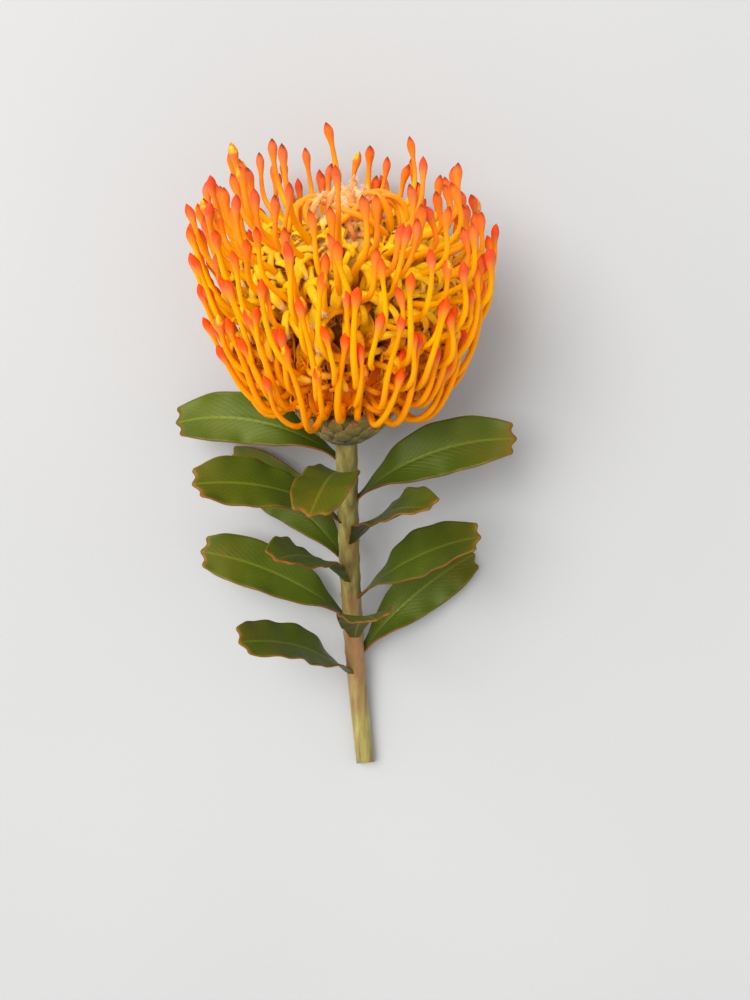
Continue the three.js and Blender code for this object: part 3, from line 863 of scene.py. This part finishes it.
def leaf_material():
    """Leathery green with a pale midrib, side veins and a red edge and teeth."""
    material, tree, shader = new_material(
        "leaf", 0.4, Specular_IOR_Level=0.22, Specular_Tint=(0.9, 1, 0.45, 1),
        Coat_Weight=0.015, Coat_Roughness=0.2)
    u = attribute(tree, "leaf_u")
    v = attribute(tree, "leaf_v")
    side = arithmetic(tree, "ABSOLUTE", u)
    color = ramp(tree, noise(tree, 55, 4), [
        (0.32, (0.016, 0.026, 0.0)), (0.55, (0.033, 0.045, 0.0)), (0.75, (0.075, 0.088, 0.001)),
    ])
    slant = arithmetic(tree, "SUBTRACT", times(tree, v, 62.0), times(tree, side, 17.0))
    ridge = arithmetic(tree, "ABSOLUTE", arithmetic(tree, "SINE", slant))
    vein = times(tree, arithmetic(tree, "POWER", ridge, 14.0),
                 ramp(tree, side, [(0.0, 1.0), (0.85, 0.25)]))
    color = blend_colors(tree, times(tree, vein, 0.22), color, (0.1, 0.14, 0.008))
    color = tinted(tree, color, (0.2, 0.22, 0.02), side, [(0.02, 0.7), (0.075, 0.0)])
    edge = arithmetic(tree, "MAXIMUM", ramp(tree, side, [(0.95, 0.0), (0.995, 1.0)]),
                      ramp(tree, v, [(0.955, 0.0), (1.0, 1.0)]))
    reddened = ramp(tree, noise(tree, 130, 2), [(0.38, 0.05), (0.62, 0.8)])
    reddened = plus(tree, times(tree, reddened, 0.8), 0.5)
    color = blend_colors(tree, times(tree, edge, reddened), color, (0.3, 0.04, 0.008))
    flush = times(tree, ramp(tree, v, [(0.6, 0.0), (1.0, 0.7)]),
                  ramp(tree, noise(tree, 70, 2), [(0.4, 0.0), (0.7, 1.0)]))
    color = blend_colors(tree, flush, color, (0.2, 0.07, 0.008))
    under = times(tree, attribute(tree, "under"), 0.5)
    paint(tree, shader, blend_colors(tree, under, color, (0.09, 0.13, 0.012)))
    relief = plus(tree, times(tree, vein, -0.5), times(tree, noise(tree, 900, 3), 0.5))
    bump(tree, shader, relief, 0.35, 0.0004)
    return material


def table_material():
    """A pale, matt top."""
    material, tree, shader = new_material("table", 0.7)
    paint(tree, shader, ramp(tree, noise(tree, 3, 2), [
        (0.3, (0.42, 0.425, 0.43)), (0.7, (0.45, 0.453, 0.455)),
    ]))
    return material


# ---- Styles ----------------------------------------------------------------------------
def model_style():
    """One straight style along X with its pointed knob at the far end."""
    neck = STYLE_LENGTH - KNOB_LENGTH
    shares = [(k / STYLE_RINGS) ** STYLE_RING_CROWDING for k in range(STYLE_RINGS + 1)]
    rod = [(neck * share, lerp(*STYLE_RADIUS, share * share)) for share in shares]
    rod += [(neck + KNOB_LENGTH * share, KNOB_RADIUS * size) for share, size in KNOB_FORM]
    piece = draw_piece("style_pattern", STYLE_SIDES, round_stations(rod), STYLE_LENGTH)
    mark_along(piece, STYLE_LENGTH)
    return piece


def fit_style(straight, length, thickness):
    """A straight style's points at another length and thickness, its knob kept as long."""
    x, y, z = straight.T
    neck = STYLE_LENGTH - KNOB_LENGTH
    x = np.where(x > neck, x + length - STYLE_LENGTH, x * (length - KNOB_LENGTH) / neck)
    return np.stack([x, y * thickness, z * thickness], axis=1)


def make_styles():
    """Every floret's style, each fitted to its own line and bent along it."""
    pattern = model_style()
    straight = places(pattern)
    on_knob = share_between(marks_of(pattern, "along"), *POLLEN_OVER)
    around = np.arctan2(straight[:, 2], straight[:, 1])
    even = np.ones(len(straight))
    copies = []
    standing = [*florets(), *(floret for floret in packed_florets()
                              if not PACKED_STYLES_BELOW < floret[1] < PACKED_STYLES_ABOVE)]
    for floret in standing:
        i, a = floret[:2]
        thickness = lerp(*STYLE_THICKNESS, draw(i, 18))
        piece = copy_of(pattern)
        line = style_line(*floret)
        length = sum((after - before).length for before, after in zip(line, line[1:]))
        replace_places(piece, fit_style(straight, length, thickness))
        bend_along(piece, line)
        mark(piece, "tone", even * draw(i, 21))
        mark(piece, "height", even * up_cushion(a))
        facing = np.cos(around - 2 * math.pi * draw(i, 19))
        dusted = np.clip(POLLEN_SIDE[0] + POLLEN_SIDE[1] * facing, 0, 1)
        mark(piece, "pollen", on_knob * dusted * (draw(i, 22) < POLLEN_SHARE))
        copies.append(piece)
    bpy.data.objects.remove(pattern)
    styles = join(copies, "protea_styles")
    keep_above_floor(styles)
    dress(styles, style_material(), "styles", "styles")


# ---- Perianths -------------------------------------------------------------------------
def curl_line(length, start, turn, late=CURL_LATE):
    """A path in XY that runs straight out, then curls toward +Y through a turn."""
    line = [Vector((0, 0, 0))]
    for k in range(CURL_POINTS):
        share = (k + 0.5) / CURL_POINTS
        bent = max(0.0, (share - start) / (1 - start))
        angle = math.radians(turn) * bent ** late
        onward = Vector((math.cos(angle), math.sin(angle), 0))
        line.append(line[-1] + onward * length / CURL_POINTS)
    return line


def model_ribbon(name, length, width, depth, form, curl):
    """A channelled ribbon: drawn out along X, thickened, then laid along its curl."""
    stations = []
    for k in range(RIBBON_ROWS + 1):
        _, wide, deep = run_at(form, k / RIBBON_ROWS)
        stations.append((length * k / RIBBON_ROWS, depth * deep, width / 2 * wide))
    piece = start_section(name, RIBBON_SIDES, stations[0], False)
    bpy.ops.mesh.select_all(action="DESELECT")
    bpy.ops.object.mode_set(mode="OBJECT")
    for vertex in piece.data.vertices:
        vertex.select = vertex.co.y > stations[0][1] * 0.1
    bpy.ops.object.mode_set(mode="EDIT")
    bpy.ops.mesh.delete(type="VERT")
    bpy.ops.mesh.select_all(action="SELECT")
    draw_out(stations[0], stations[1:])
    close_piece()
    mark_along(piece, length)
    x, _, z = places(piece).T
    mark(piece, "across", z / reach_at(stations, x)[2])
    thicken(piece, RIBBON_THICKNESS)
    x, y, z = places(piece).T
    _, depths, widths = reach_at(stations, x)
    mark(piece, "inside", np.hypot(y / depths, z / widths) < 1)
    bend_along(piece, curl_line(length, *curl))
    return piece


def reach_at(stations, x):
    """The stations' own numbers at each x."""
    return [np.interp(x, [station[0] for station in stations], column)
            for column in zip(*stations)]


def stack(pattern, placements, name):
    """One mesh of a pattern's copies; each placement has a matrix and its own marks."""
    base = places(pattern)
    count = len(base)
    loops = np.empty(len(pattern.data.loops), dtype=np.int32)
    pattern.data.loops.foreach_get("vertex_index", loops)
    sizes = np.empty(len(pattern.data.polygons), dtype=np.int32)
    pattern.data.polygons.foreach_get("loop_total", sizes)
    kept = {layer.name: np.array([item.value for item in layer.data], dtype=np.float32)
            for layer in pattern.data.attributes
            if layer.data_type == "FLOAT" and layer.domain == "POINT"}
    number = len(placements)
    matrices = np.array([np.array(matrix) for matrix, _ in placements])
    everywhere = np.einsum("nij,kj->nki", matrices[:, :3, :3], base) + matrices[:, None, :3, 3]
    data = bpy.data.meshes.new(name)
    data.vertices.add(count * number)
    data.vertices.foreach_set("co", everywhere.astype(np.float32).ravel())
    data.loops.add(len(loops) * number)
    offsets = np.arange(number, dtype=np.int32)[:, None] * count
    data.loops.foreach_set("vertex_index", (loops[None, :] + offsets).ravel())
    data.polygons.add(len(sizes) * number)
    all_sizes = np.tile(sizes, number)
    starts = np.concatenate(([0], np.cumsum(all_sizes)[:-1])).astype(np.int32)
    data.polygons.foreach_set("loop_start", starts)
    data.polygons.foreach_set("use_smooth", np.ones(len(all_sizes), dtype=bool))
    data.update(calc_edges=True)
    data.validate()
    piece = bpy.data.objects.new(name, data)
    bpy.context.scene.collection.objects.link(piece)
    for layer, values in kept.items():
        mark(piece, layer, np.tile(values, number))
    for layer in placements[0][1]:
        mark(piece, layer, np.repeat([marks[layer] for _, marks in placements], count))
    return piece


def frame_at(place, out, away, size=1.0):
    """A matrix that stands a pattern at a place: its X outward, its Y toward away."""
    side = out.cross(away).normalized()
    away = side.cross(out).normalized()
    turned = Matrix((out.normalized(), away, side)).transposed().to_4x4()
    return Matrix.Translation(place) @ turned @ Matrix.Scale(size, 4)


def lay_ribbons(laid, floret, heads):
    """Adds one perianth's ribbons: a broad one and, beside it, up to two slim ones.

    Low on the cushion the broad one is a boat that stands up, hollow side outward. Above, it
    curls outward, and at the apex into the widest gap.
    """
    i, a, r, turn = floret[:4]
    here = in_head(r, a, turn)
    out = outward(r, a, turn)
    around = around_head(turn)
    upward = HEAD.to_3x3() @ Vector((0, 1, 0))
    foot = here - out * (CUSHION[0] - PERIANTHS[0] + BROAD_SUNK)
    height = up_cushion(a)
    rising = RIBBON_RISE * share_between(height, *RIBBON_RISE_OVER)
    young = 1 - YOUNGER_BY * share_between(a, *YOUNGER_OVER)
    marks = {"height": height, "tone": draw(i, 31)}

    def standing(shares):
        return (out * shares[0] + upward * shares[1]
                + around * shares[2] * scatter(i, 42)).normalized()

    if height + BOATS_SCATTER * scatter(i, 33) < BOATS_BELOW:
        kind = "boat"
        way = (out.cross(around) + around * BOAT_TURNS * scatter(i, 41)).normalized()
        lean = standing(BOAT_STANDS)
        start = foot + out * BOAT_ASIDE
    else:
        kind = "hook" if draw(i, 34) < HOOK_SHARE else "coil"
        if a < LOOSE_ABOVE:
            way = (out + upward * HOOK_TURNS[0]
                   + around * HOOK_TURNS[1] * scatter(i, 41)).normalized()
            lean = standing(HOOK_STANDS)
        else:
            way = widest_gap(here, around.cross(out).normalized(), around, heads)
            lean = (out + upward * rising + way * LOOSE_SPREAD).normalized()
        start = foot + way * HOOK_ASIDE
    size = lerp(*BROAD_SIZE, draw(i, 35)) * young
    laid[kind].append((frame_at(start, lean, way, size), marks))
    grown = lerp(SLIM_LOWEST_SIZE, 1.0, min(1, height * SLIM_GROWTH)) * young
    for k, name in ((1, "thin"), (-1, "curly")):
        if kind == "boat" and (name == "curly" or height < SLIM_ABOVE):
            continue
        angle = k * math.radians(lerp(*SLIM_ROUND, draw(i, 36 + k)))
        aside = (way * math.cos(angle) + out.cross(way) * math.sin(angle)).normalized()
        lean = (out + upward * rising * SLIM_STANDS[0] + aside * SLIM_STANDS[1]).normalized()
        size = lerp(*SLIM_SIZE, draw(i, 40 + k)) * grown
        laid[name].append((frame_at(foot + aside * SLIM_ASIDE, lean, aside, size), marks))
    laid["tube"].append((frame_at(foot - out * TUBE_SUNK, out, way), marks))


def make_perianths():
    """The open florets' perianths in one piece, and those filling their gaps in another."""
    patterns = {name: model_ribbon(name, *form) for name, form in RIBBONS.items()}
    patterns["tube"] = model_tube()
    material = perianth_material()
    heads = [in_head(r, a, turn) for _, a, r, turn, *_ in florets()]
    made = []
    for name, standing in (("protea_perianths", florets()),
                           ("protea_packed_perianths", packed_florets())):
        laid = {kind: [] for kind in patterns}
        for floret in standing:
            lay_ribbons(laid, floret, heads)
        stacks = [stack(patterns[kind], laid[kind], kind) for kind in patterns if laid[kind]]
        made.append(join(stacks, name))
        dress(made[-1], material, "perianths", "perianths")
    for pattern in patterns.values():
        bpy.data.objects.remove(pattern)
    return made


def widest_gap(here, up, around, heads):
    """The direction round a floret that leads furthest from its neighbours."""
    best = (0.0, up)
    for degrees in range(-GAP_SEARCH, GAP_SEARCH + 1, GAP_STEP):
        angle = math.radians(degrees)
        way = up * math.cos(angle) + around * math.sin(angle)
        end = here + way * GAP_REACH
        clear = min((end - other).length for other in heads if (other - here).length > 1e-6)
        if clear > best[0]:
            best = (clear, way)
    return best[1]


def model_tube():
    """The unslit foot of a perianth, flared where it opens."""
    piece = draw_piece("tube_pattern", TUBE_SIDES, round_stations(TUBE_FORM), filled=False)
    thicken(piece, RIBBON_THICKNESS, -1)
    mark_along(piece, TUBE_COLORED_OVER)
    mark(piece, "across", np.zeros(len(piece.data.vertices)))
    return piece


def make_ground():
    """The downy ground that the florets stand in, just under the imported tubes' mouths."""
    deselect()
    bpy.ops.mesh.primitive_uv_sphere_add(segments=96, ring_count=64, radius=1)
    ground = bpy.context.object
    ground.name = "protea_floret_ground"
    radius, half = PERIANTHS[0] - GROUND_DEPTH, PERIANTHS[1] - GROUND_DEPTH
    bpy.ops.transform.resize(value=(radius, radius, half))
    bpy.ops.object.transform_apply(location=True, rotation=True, scale=True)
    now = places(ground)
    grain = np.array([draw(k, 61) for k in range(len(now))])
    now *= (1 + GROUND_GRAIN * (grain - 0.5))[:, None]
    now[:, 2] = np.maximum(now[:, 2], GROUND_LOW)
    turned = np.stack([now[:, 0], now[:, 2], -now[:, 1]], 1)
    replace_places(ground, np.array([HEAD @ Vector(point) for point in turned]))
    mark(ground, "height", up_cushion(now[:, 2]))
    bpy.ops.object.shade_smooth()
    dress(ground, ground_material(), "perianths")


# ---- Young florets ---------------------------------------------------------------------
def model_bud():
    """A closed floret: a slim tube with its longer, fuller head."""
    stations = [(BUD_LENGTH * x, BUD_RADIUS[0] * size, BUD_RADIUS[1] * size)
                for x, size in BUD_FORM]
    piece = draw_piece("bud_pattern", BUD_SIDES, stations, BUD_LENGTH)
    mark_along(piece, BUD_LENGTH)
    bend_along(piece, curl_line(BUD_LENGTH, 0.0, BUD_CURL))
    return piece


def make_tuft():
    """Closed florets round the apex, each laid over toward the axis."""
    pattern = model_bud()
    placements = []
    for i in range(BUDS):
        share = math.sqrt((i + 0.6) / BUDS)
        r = BUDS_OVER * share
        a = radius_along((PERIANTHS[1], PERIANTHS[0]), r) - BUD_SUNK
        turn = i * GOLDEN_ANGLE + 1
        foot = in_head(r, a, turn)
        around = around_head(turn)
        up = (in_head(0, 1, 0) - in_head(0, 0, 0)).normalized()
        inward = (in_head(0, a, 0) - foot).normalized() + around * scatter(i, 71) * BUD_STRAY[0]
        size = lerp(*BUD_SIZE, draw(i, 72))
        if draw(i, 73) > 1 - BUD_UPRIGHT_SHARE and share < BUD_UPRIGHT_WITHIN:
            lean = up + around * scatter(i, 75) - inward.normalized() * BUD_UPRIGHT[0]
            size *= BUD_UPRIGHT[1]
        else:
            lean = up * lerp(*BUD_UP, share) + inward.normalized() * lerp(*BUD_INWARD, share)
            lean += around * scatter(i, 74) * BUD_STRAY[1]
        placements.append((frame_at(foot, lean.normalized(), inward, size), {"tone": draw(i, 73)}))
    buds = stack(pattern, placements, "protea_young_buds")
    bpy.data.objects.remove(pattern)
    dress(buds, bud_material(), "young_florets", "young_florets")
    return buds


def make_bows():
    """Young styles still held at their tips, bowed out over the cushion."""
    rod = [(BOW_LENGTH * k / BOW_RINGS, lerp(*BOW_RADIUS, min(1, k / BOW_THICK_AFTER)))
           for k in range(BOW_RINGS + 1)]
    pattern = draw_piece("bow_pattern", BOW_SIDES, round_stations(rod))
    mark_along(pattern, BOW_LENGTH)
    foot = BOW_PATH[0][1]
    copies = []
    for i in range(BOWS):
        turn = (i + BOW_SCATTER * scatter(i, 8)) * 2 * math.pi / BOWS
        size = lerp(*BOW_SIZE, draw(i, 9))
        rise = lerp(*BOW_RISE, draw(i, 12))
        sweep = BOW_SWEEP * scatter(i, 10)
        line = []
        for k in range(BOW_POINTS + 1):
            t = k / BOW_POINTS
            r, a = cubic(*BOW_PATH, t)
            r = r * size + BOW_START * draw(i, 13) * (1 - t)
            a = foot + (a - foot) * (rise if a > foot else size)
            line.append(in_head(r, a, turn + sweep * t * t))
        piece = copy_of(pattern)
        bend_along(piece, line)
        copies.append(piece)
    bpy.data.objects.remove(pattern)
    bows = join(copies, "protea_bowed_styles")
    dress(bows, young_style_material(), "styles", "young_florets")


# ---- Down ------------------------------------------------------------------------------
def model_hair():
    """One hair, drawn to a point and bent over."""
    piece = draw_piece("hair_pattern", 3, round_stations(HAIR_FORM), HAIR_LENGTH)
    mark_along(piece, HAIR_LENGTH)
    bend_along(piece, curl_line(HAIR_LENGTH, 0.0, HAIR_CURL))
    return piece


def down_on(piece, share, number, seed, sizes, name, material, slot):
    """Hairs on a piece's surface, laid toward its tips, as thick as the share on its points."""
    rng = np.random.default_rng(seed)
    data = piece.data
    centres, normals = np.empty((2, len(data.polygons) * 3))
    data.polygons.foreach_get("center", centres)
    data.polygons.foreach_get("normal", normals)
    areas = np.empty(len(data.polygons))
    data.polygons.foreach_get("area", areas)
    centres, normals = centres.reshape(-1, 3), normals.reshape(-1, 3)
    along = marks_of(piece, "along")
    weights = areas * share[[face.vertices[0] for face in data.polygons]]
    chosen = rng.choice(len(areas), size=number, p=weights / weights.sum())
    pattern = model_hair()
    placements = []
    for k in chosen:
        normal = Vector(normals[k])
        corners = data.polygons[k].vertices
        middle = sum(along[corner] for corner in corners) / len(corners)
        tipward = sum(((data.vertices[corner].co - Vector(centres[k])) * (along[corner] - middle)
                       for corner in corners), Vector())
        out = (normal * HAIR_LEAN[0] + tipward.normalized() * HAIR_LEAN[1]
               + Vector(rng.normal(0, HAIR_LEAN[2], 3)))
        away = Vector(rng.normal(0, 1, 3))
        aside = Vector(rng.uniform(-1, 1, 3)) * math.sqrt(areas[k]) * HAIR_SPREAD
        spot = Vector(centres[k]) + aside - normal * (aside.dot(normal) + HAIR_SUNK)
        placements.append((frame_at(spot, out.normalized(), away, rng.uniform(*sizes)),
                           {"tone": rng.uniform()}))
    hairs = stack(pattern, placements, name)
    bpy.data.objects.remove(pattern)
    dress(hairs, material, slot)
    return hairs


# ---- Involucre, stem and leaves --------------------------------------------------------
def make_cup():
    """The solid cup under the head, drawn out along the head's axis."""
    piece = draw_piece("protea_cup", CUP_SIDES, [(a, r, r) for r, a in CUP])
    now = places(piece)
    replace_places(piece, np.array([HEAD @ Vector((y, x, z)) for x, y, z in now]))
    # Laying it on the axis mirrored it, so its faces are turned outward again.
    bpy.ops.object.mode_set(mode="EDIT")
    close_piece()
    mark(piece, "along", np.zeros(len(now)))
    return piece


def model_bract():
    """A pointed scale along X, hollowed toward the head."""
    stations = [(BRACT_LENGTH * x, BRACT_HALF[0], BRACT_HALF[1] * size)
                for x, size in BRACT_FORM]
    piece = draw_piece("bract_pattern", BRACT_SIDES, stations, BRACT_LENGTH)
    mark_along(piece, BRACT_LENGTH)
    bend_along(piece, curl_line(BRACT_LENGTH, 0.0, BRACT_CURL))
    return piece


def make_involucre():
    """The cup with its bracts, which overlap up it in spirals."""
    pattern = model_bract()
    placements = []
    rows = [((a - CUP[0][1]) / (CUP[-1][1] - CUP[0][1]), r, a) for r, a in CUP]
    for i in range(BRACTS):
        turn = i * GOLDEN_ANGLE
        start = BRACTS_UP_TO * i / (BRACTS - 1)
        _, r, a = run_at(rows, start)
        _, next_r, next_a = run_at(rows, start + BRACT_REACH[0])
        foot = in_head(r - BRACT_SUNK, a, turn)
        along = (in_head(next_r + BRACT_REACH[1], next_a, turn) - foot).normalized()
        out = around_head(turn).cross(along) * -1
        size = lerp(*BRACT_SIZE, draw(i, 81))
        placements.append((frame_at(foot, along, out, size), {"tone": draw(i, 82)}))
    bracts = stack(pattern, placements, "protea_bracts")
    bpy.data.objects.remove(pattern)
    whole = join([bracts, make_cup()], "protea_involucre")
    dress(whole, bract_material(), "bracts", "involucre")
    return whole


STEM_TOP = in_head(0, STEM_LEAVES_HEAD, 0)
STEM_END = Vector((HEAD_CENTRE.x + 0.007, HEAD_CENTRE.y - 0.186, 0.0033))


def stem_line():
    """The stem's centreline, from the head to the cut end."""
    axis = (in_head(0, 1, 0) - in_head(0, 0, 0)).normalized()
    knots = [STEM_TOP, STEM_TOP - axis * STEM_BEND_LENGTHS[0],
             STEM_END + Vector((-0.006, STEM_BEND_LENGTHS[1], 0)), STEM_END]
    return [Vector(cubic(*knots, k / STEM_POINTS)) for k in range(STEM_POINTS + 1)]


class Path:
    """Even travel along a line of points."""

    def __init__(self, line):
        self.line = line
        steps = [(b - a).length for a, b in zip(line, line[1:])]
        self.travel = np.concatenate(([0], np.cumsum(steps)))
        self.length = float(self.travel[-1])

    def at(self, share):
        distance = share * self.length
        return Vector([float(np.interp(distance, self.travel, column))
                       for column in zip(*self.line)])

    def toward(self, share):
        """The direction of travel."""
        return (self.at(min(share + 0.01, 1)) - self.at(max(share - 0.01, 0))).normalized()


STEM = Path(stem_line())


def make_stem():
    """Bark drawn out ring by ring, with a knuckle under each leaf and a clean slanted cut."""
    nodes = [(LEAF_FIRST + LEAF_STEP * i) / STEM.length for i in range(LEAVES)]
    stations = []
    for k in range(STEM_RINGS + 1):
        share = k / STEM_RINGS
        swell = sum(math.exp(-((share - node - KNUCKLE_ON) / KNUCKLE_SPREAD) ** 2)
                    for node in nodes)
        size = lerp(*STEM_RADIUS, share) + KNUCKLE * swell + BARK_RIPPLE * scatter(k, 91)
        stations.append((STEM.length * share, size, size))
    piece = start_section("protea_stem", STEM_SIDES, stations[0], True)
    draw_out(stations[0], stations[1:])
    bpy.ops.mesh.inset(thickness=CUT_BARK, depth=0)
    bpy.ops.mesh.inset(thickness=CUT_PITH, depth=-CUT_HOLLOW)
    close_piece()
    now = places(piece)
    x, y, z = now.T
    within_bark = np.hypot(y, z) < STEM_RADIUS[1] - PITH_EDGE
    mark(piece, "pith", (x > STEM.length - CUT_HOLLOW) & within_bark)
    now[:, 0] += np.where(x > STEM.length - CUT_SLANT_OVER, -z * CUT_SLANT, 0)
    replace_places(piece, now)
    bend_along(piece, [STEM.at(k / STEM_BENDS) for k in range(STEM_BENDS + 1)])
    keep_above_floor(piece)
    dress(piece, stem_material(), "stem", "stem")
    return piece


def leaf_form(i):
    """Where a leaf stands on the stem, the directions there, and its own form."""
    distance = LEAF_FIRST + LEAF_STEP * i
    share = distance / STEM.length
    along = -STEM.toward(share)
    turn = ((i * GOLDEN_ANGLE + LEAF_START) % (2 * math.pi) - math.pi) * LEAF_SPREAD
    right = along.cross(Vector((0, 0, 1))).normalized()
    out = right.cross(along) * math.cos(turn) + right * math.sin(turn)
    crowded = 1 - share_between(distance, LEAF_FIRST, LEAF_FIRST + LEAF_CROWDED_OVER)
    opening = [math.radians(angle + wider * crowded + most * scatter(i, 11 + end))
               for end, (angle, wider, most) in enumerate(
                   zip(LEAF_OPENING, LEAF_CROWDED, LEAF_OPENING_SCATTER))]
    return {
        "turn": turn, "along": along, "out": out, "across": along.cross(out).normalized(),
        "start": STEM.at(share) + out * (lerp(*STEM_RADIUS, share) - LEAF_SUNK),
        "opening": opening,
        "length": LEAF_LENGTH * (1 + LEAF_LENGTH_SCATTER * scatter(i, 13)),
        "half": LEAF_HALF * (1 + LEAF_HALF_SCATTER * scatter(i, 14)),
        "swing": LEAF_SWING * scatter(i, 15),
        "phase": 2 * math.pi * draw(i, 16),
    }


def leaf_point(leaf, v, u):
    """A point of a leaf: v runs from its foot to its tip, u across it from -1 to 1."""
    def toward(angle):
        return leaf["along"] * math.cos(angle) + leaf["out"] * math.sin(angle)

    facing = toward(lerp(*leaf["opening"], v) - math.pi / 2)
    ease = share_between(v, 0, LEAF_TWIST_OVER)
    twist = LEAF_TWIST * leaf["turn"] * ease * ease * (3 - 2 * ease)
    width = leaf["across"] * math.cos(twist) + facing * math.sin(twist)
    normal = facing * math.cos(twist) - leaf["across"] * math.sin(twist)
    outline = sum(np.interp(v + nudge, LEAF_OUTLINE_V, LEAF_OUTLINE_W)
                  for nudge in LEAF_ROUNDING) / len(LEAF_ROUNDING)
    wave = LEAF_WAVE[0] * u * math.sin(v * LEAF_WAVE[1] + leaf["phase"])
    wave += LEAF_RIPPLE[0] * u * abs(u) * math.sin(v * LEAF_RIPPLE[1] + leaf["phase"])
    groove = MIDRIB[0] * math.exp(-(u / MIDRIB[1]) ** 2) * (1 - v)
    lift = LEAF_HOLLOW * leaf["half"] * u * u + wave - groove
    place = (leaf["start"] + toward(lerp(*leaf["opening"], v / 2)) * leaf["length"] * v
             + leaf["across"] * leaf["swing"] * v * v
             + width * u * leaf["half"] * outline + normal * lift * outline)
    return settle(place, LEAF_THICK / 2)


def make_leaf(i):
    """A sheet shaped as the leaf, toothed at its tip, then thickened."""
    leaf = leaf_form(i)
    deselect()
    bpy.ops.mesh.primitive_grid_add(
        x_subdivisions=LEAF_ROWS, y_subdivisions=LEAF_COLUMNS, size=2)
    piece = bpy.context.object
    piece.name = f"protea_leaf_{i + 1:02d}"
    flat = places(piece)
    v = (flat[:, 0] + 1) / 2
    u = flat[:, 1]
    near_tip = share_between(v, LEAF_TOOTHED_FROM, 1)
    teeth = (LEAF_NOTCH * (1 - np.cos(2 * np.pi * u)) / 2 + LEAF_CORNER * u ** 4) * near_tip
    replace_places(piece, np.array([leaf_point(leaf, a, b) for a, b in zip(v - teeth, u)]))
    mark(piece, "leaf_u", u)
    mark(piece, "leaf_v", v)
    thicken(piece, LEAF_THICK)
    under = np.zeros(len(piece.data.vertices))
    under[: len(flat)] = 1
    mark(piece, "under", under)
    bpy.ops.object.shade_smooth()
    keep_above_floor(piece)
    return piece


def make_leaves():
    material = leaf_material()
    for i in range(LEAVES):
        dress(make_leaf(i), material, "leaf", f"leaf_{i + 1:02d}")


make_styles()
down = wool_material("down", (0.97, 0.7, 0.3), (1.0, 0.93, 0.8))
for number, piece in enumerate(make_perianths()):
    on_tips = share_between(marks_of(piece, "along"), 0.7, 0.9)
    on_tips *= np.maximum(share_between(marks_of(piece, "height"), 0.35, 0.75), 0.01)
    down_on(piece, on_tips, RIBBON_HAIRS[number], 4 + number, (0.8, 1.5),
            f"protea_ribbon_down_{number + 1}", down, "perianths")
make_ground()
tuft = make_tuft()
make_bows()
on_heads = np.maximum(share_between(marks_of(tuft, "along"), 0.3, 0.7), 0.06)
down_on(tuft, on_heads, BUD_HAIRS, 7, (0.7, 1.4), "protea_bud_down", down, "young_florets")
involucre = make_involucre()
on_scale = marks_of(involucre, "along")
on_rims = np.where(on_scale > 0, np.maximum(share_between(on_scale, 0.2, 0.7), 0.05), 0)
down_on(involucre, on_rims, BRACT_HAIRS, 8, (0.35, 0.75), "protea_bract_down", down, "bracts")
make_stem()
make_leaves()


# ---- Floor, light and camera -----------------------------------------------------------
def make_floor():
    """The table top that the flower lies on."""
    deselect()
    bpy.ops.mesh.primitive_plane_add(size=6)
    floor = bpy.context.object
    floor.name = "table"
    floor.data.materials.append(table_material())


def make_light(name, place, size, power, color):
    """A soft window light, aimed at the head."""
    data = bpy.data.lights.new(name, "AREA")
    data.size = size
    data.energy = power
    data.color = color
    light = bpy.data.objects.new(name, data)
    light.location = place
    light.rotation_mode = "QUATERNION"
    light.rotation_quaternion = (HEAD_CENTRE - light.location).to_track_quat("-Z", "Y")
    bpy.context.scene.collection.objects.link(light)


def make_sun(name, toward, softness, strength, color):
    """Daylight from a direction, its shadows softened by an angle."""
    data = bpy.data.lights.new(name, "SUN")
    data.angle = math.radians(softness)
    data.energy = strength
    data.color = color
    light = bpy.data.objects.new(name, data)
    light.rotation_mode = "QUATERNION"
    light.rotation_quaternion = Vector(toward).to_track_quat("Z", "Y")
    bpy.context.scene.collection.objects.link(light)


def make_camera():
    """Looks down on the head from its tips' side, with its axis upright in the frame."""
    data = bpy.data.cameras.new("camera")
    data.sensor_fit = "AUTO"
    data.sensor_width = SENSOR
    data.lens = SENSOR * FOCAL_PIXELS / FRAME_HEIGHT
    data.clip_start = 0.01
    camera = bpy.data.objects.new("camera", data)
    distance = FOCAL_PIXELS / PIXELS_PER_METRE
    rise = HEAD_RISE + VIEW_FROM_AXIS
    back = Vector((0, math.cos(rise), math.sin(rise)))
    upward = Vector((0, math.sin(rise), -math.cos(rise)))
    right = upward.cross(back)
    aside = (HEAD_PIXEL[0] - FRAME_WIDTH / 2) / PIXELS_PER_METRE
    above = (FRAME_HEIGHT / 2 - HEAD_PIXEL[1]) / PIXELS_PER_METRE
    camera.location = HEAD_CENTRE - right * aside - upward * above + back * distance
    camera.rotation_mode = "QUATERNION"
    camera.rotation_quaternion = Matrix((right, upward, back)).transposed().to_quaternion()
    bpy.context.scene.collection.objects.link(camera)
    bpy.context.scene.camera = camera


make_floor()
make_sun("daylight", (-0.6, 0.45, 1.2), softness=40, strength=2.5, color=(1, 0.985, 0.96))
make_light("window", (-0.6, 0.7, 0.9), size=1.0, power=6, color=(1, 0.98, 0.95))
world = bpy.data.worlds.new("studio")
world.use_nodes = True
sky = world.node_tree.nodes["Background"]
sky.inputs["Color"].default_value = (1, 1, 1, 1)
sky.inputs["Strength"].default_value = 0.85
bpy.context.scene.world = world
bpy.context.scene.view_settings.view_transform = "Standard"
make_camera()
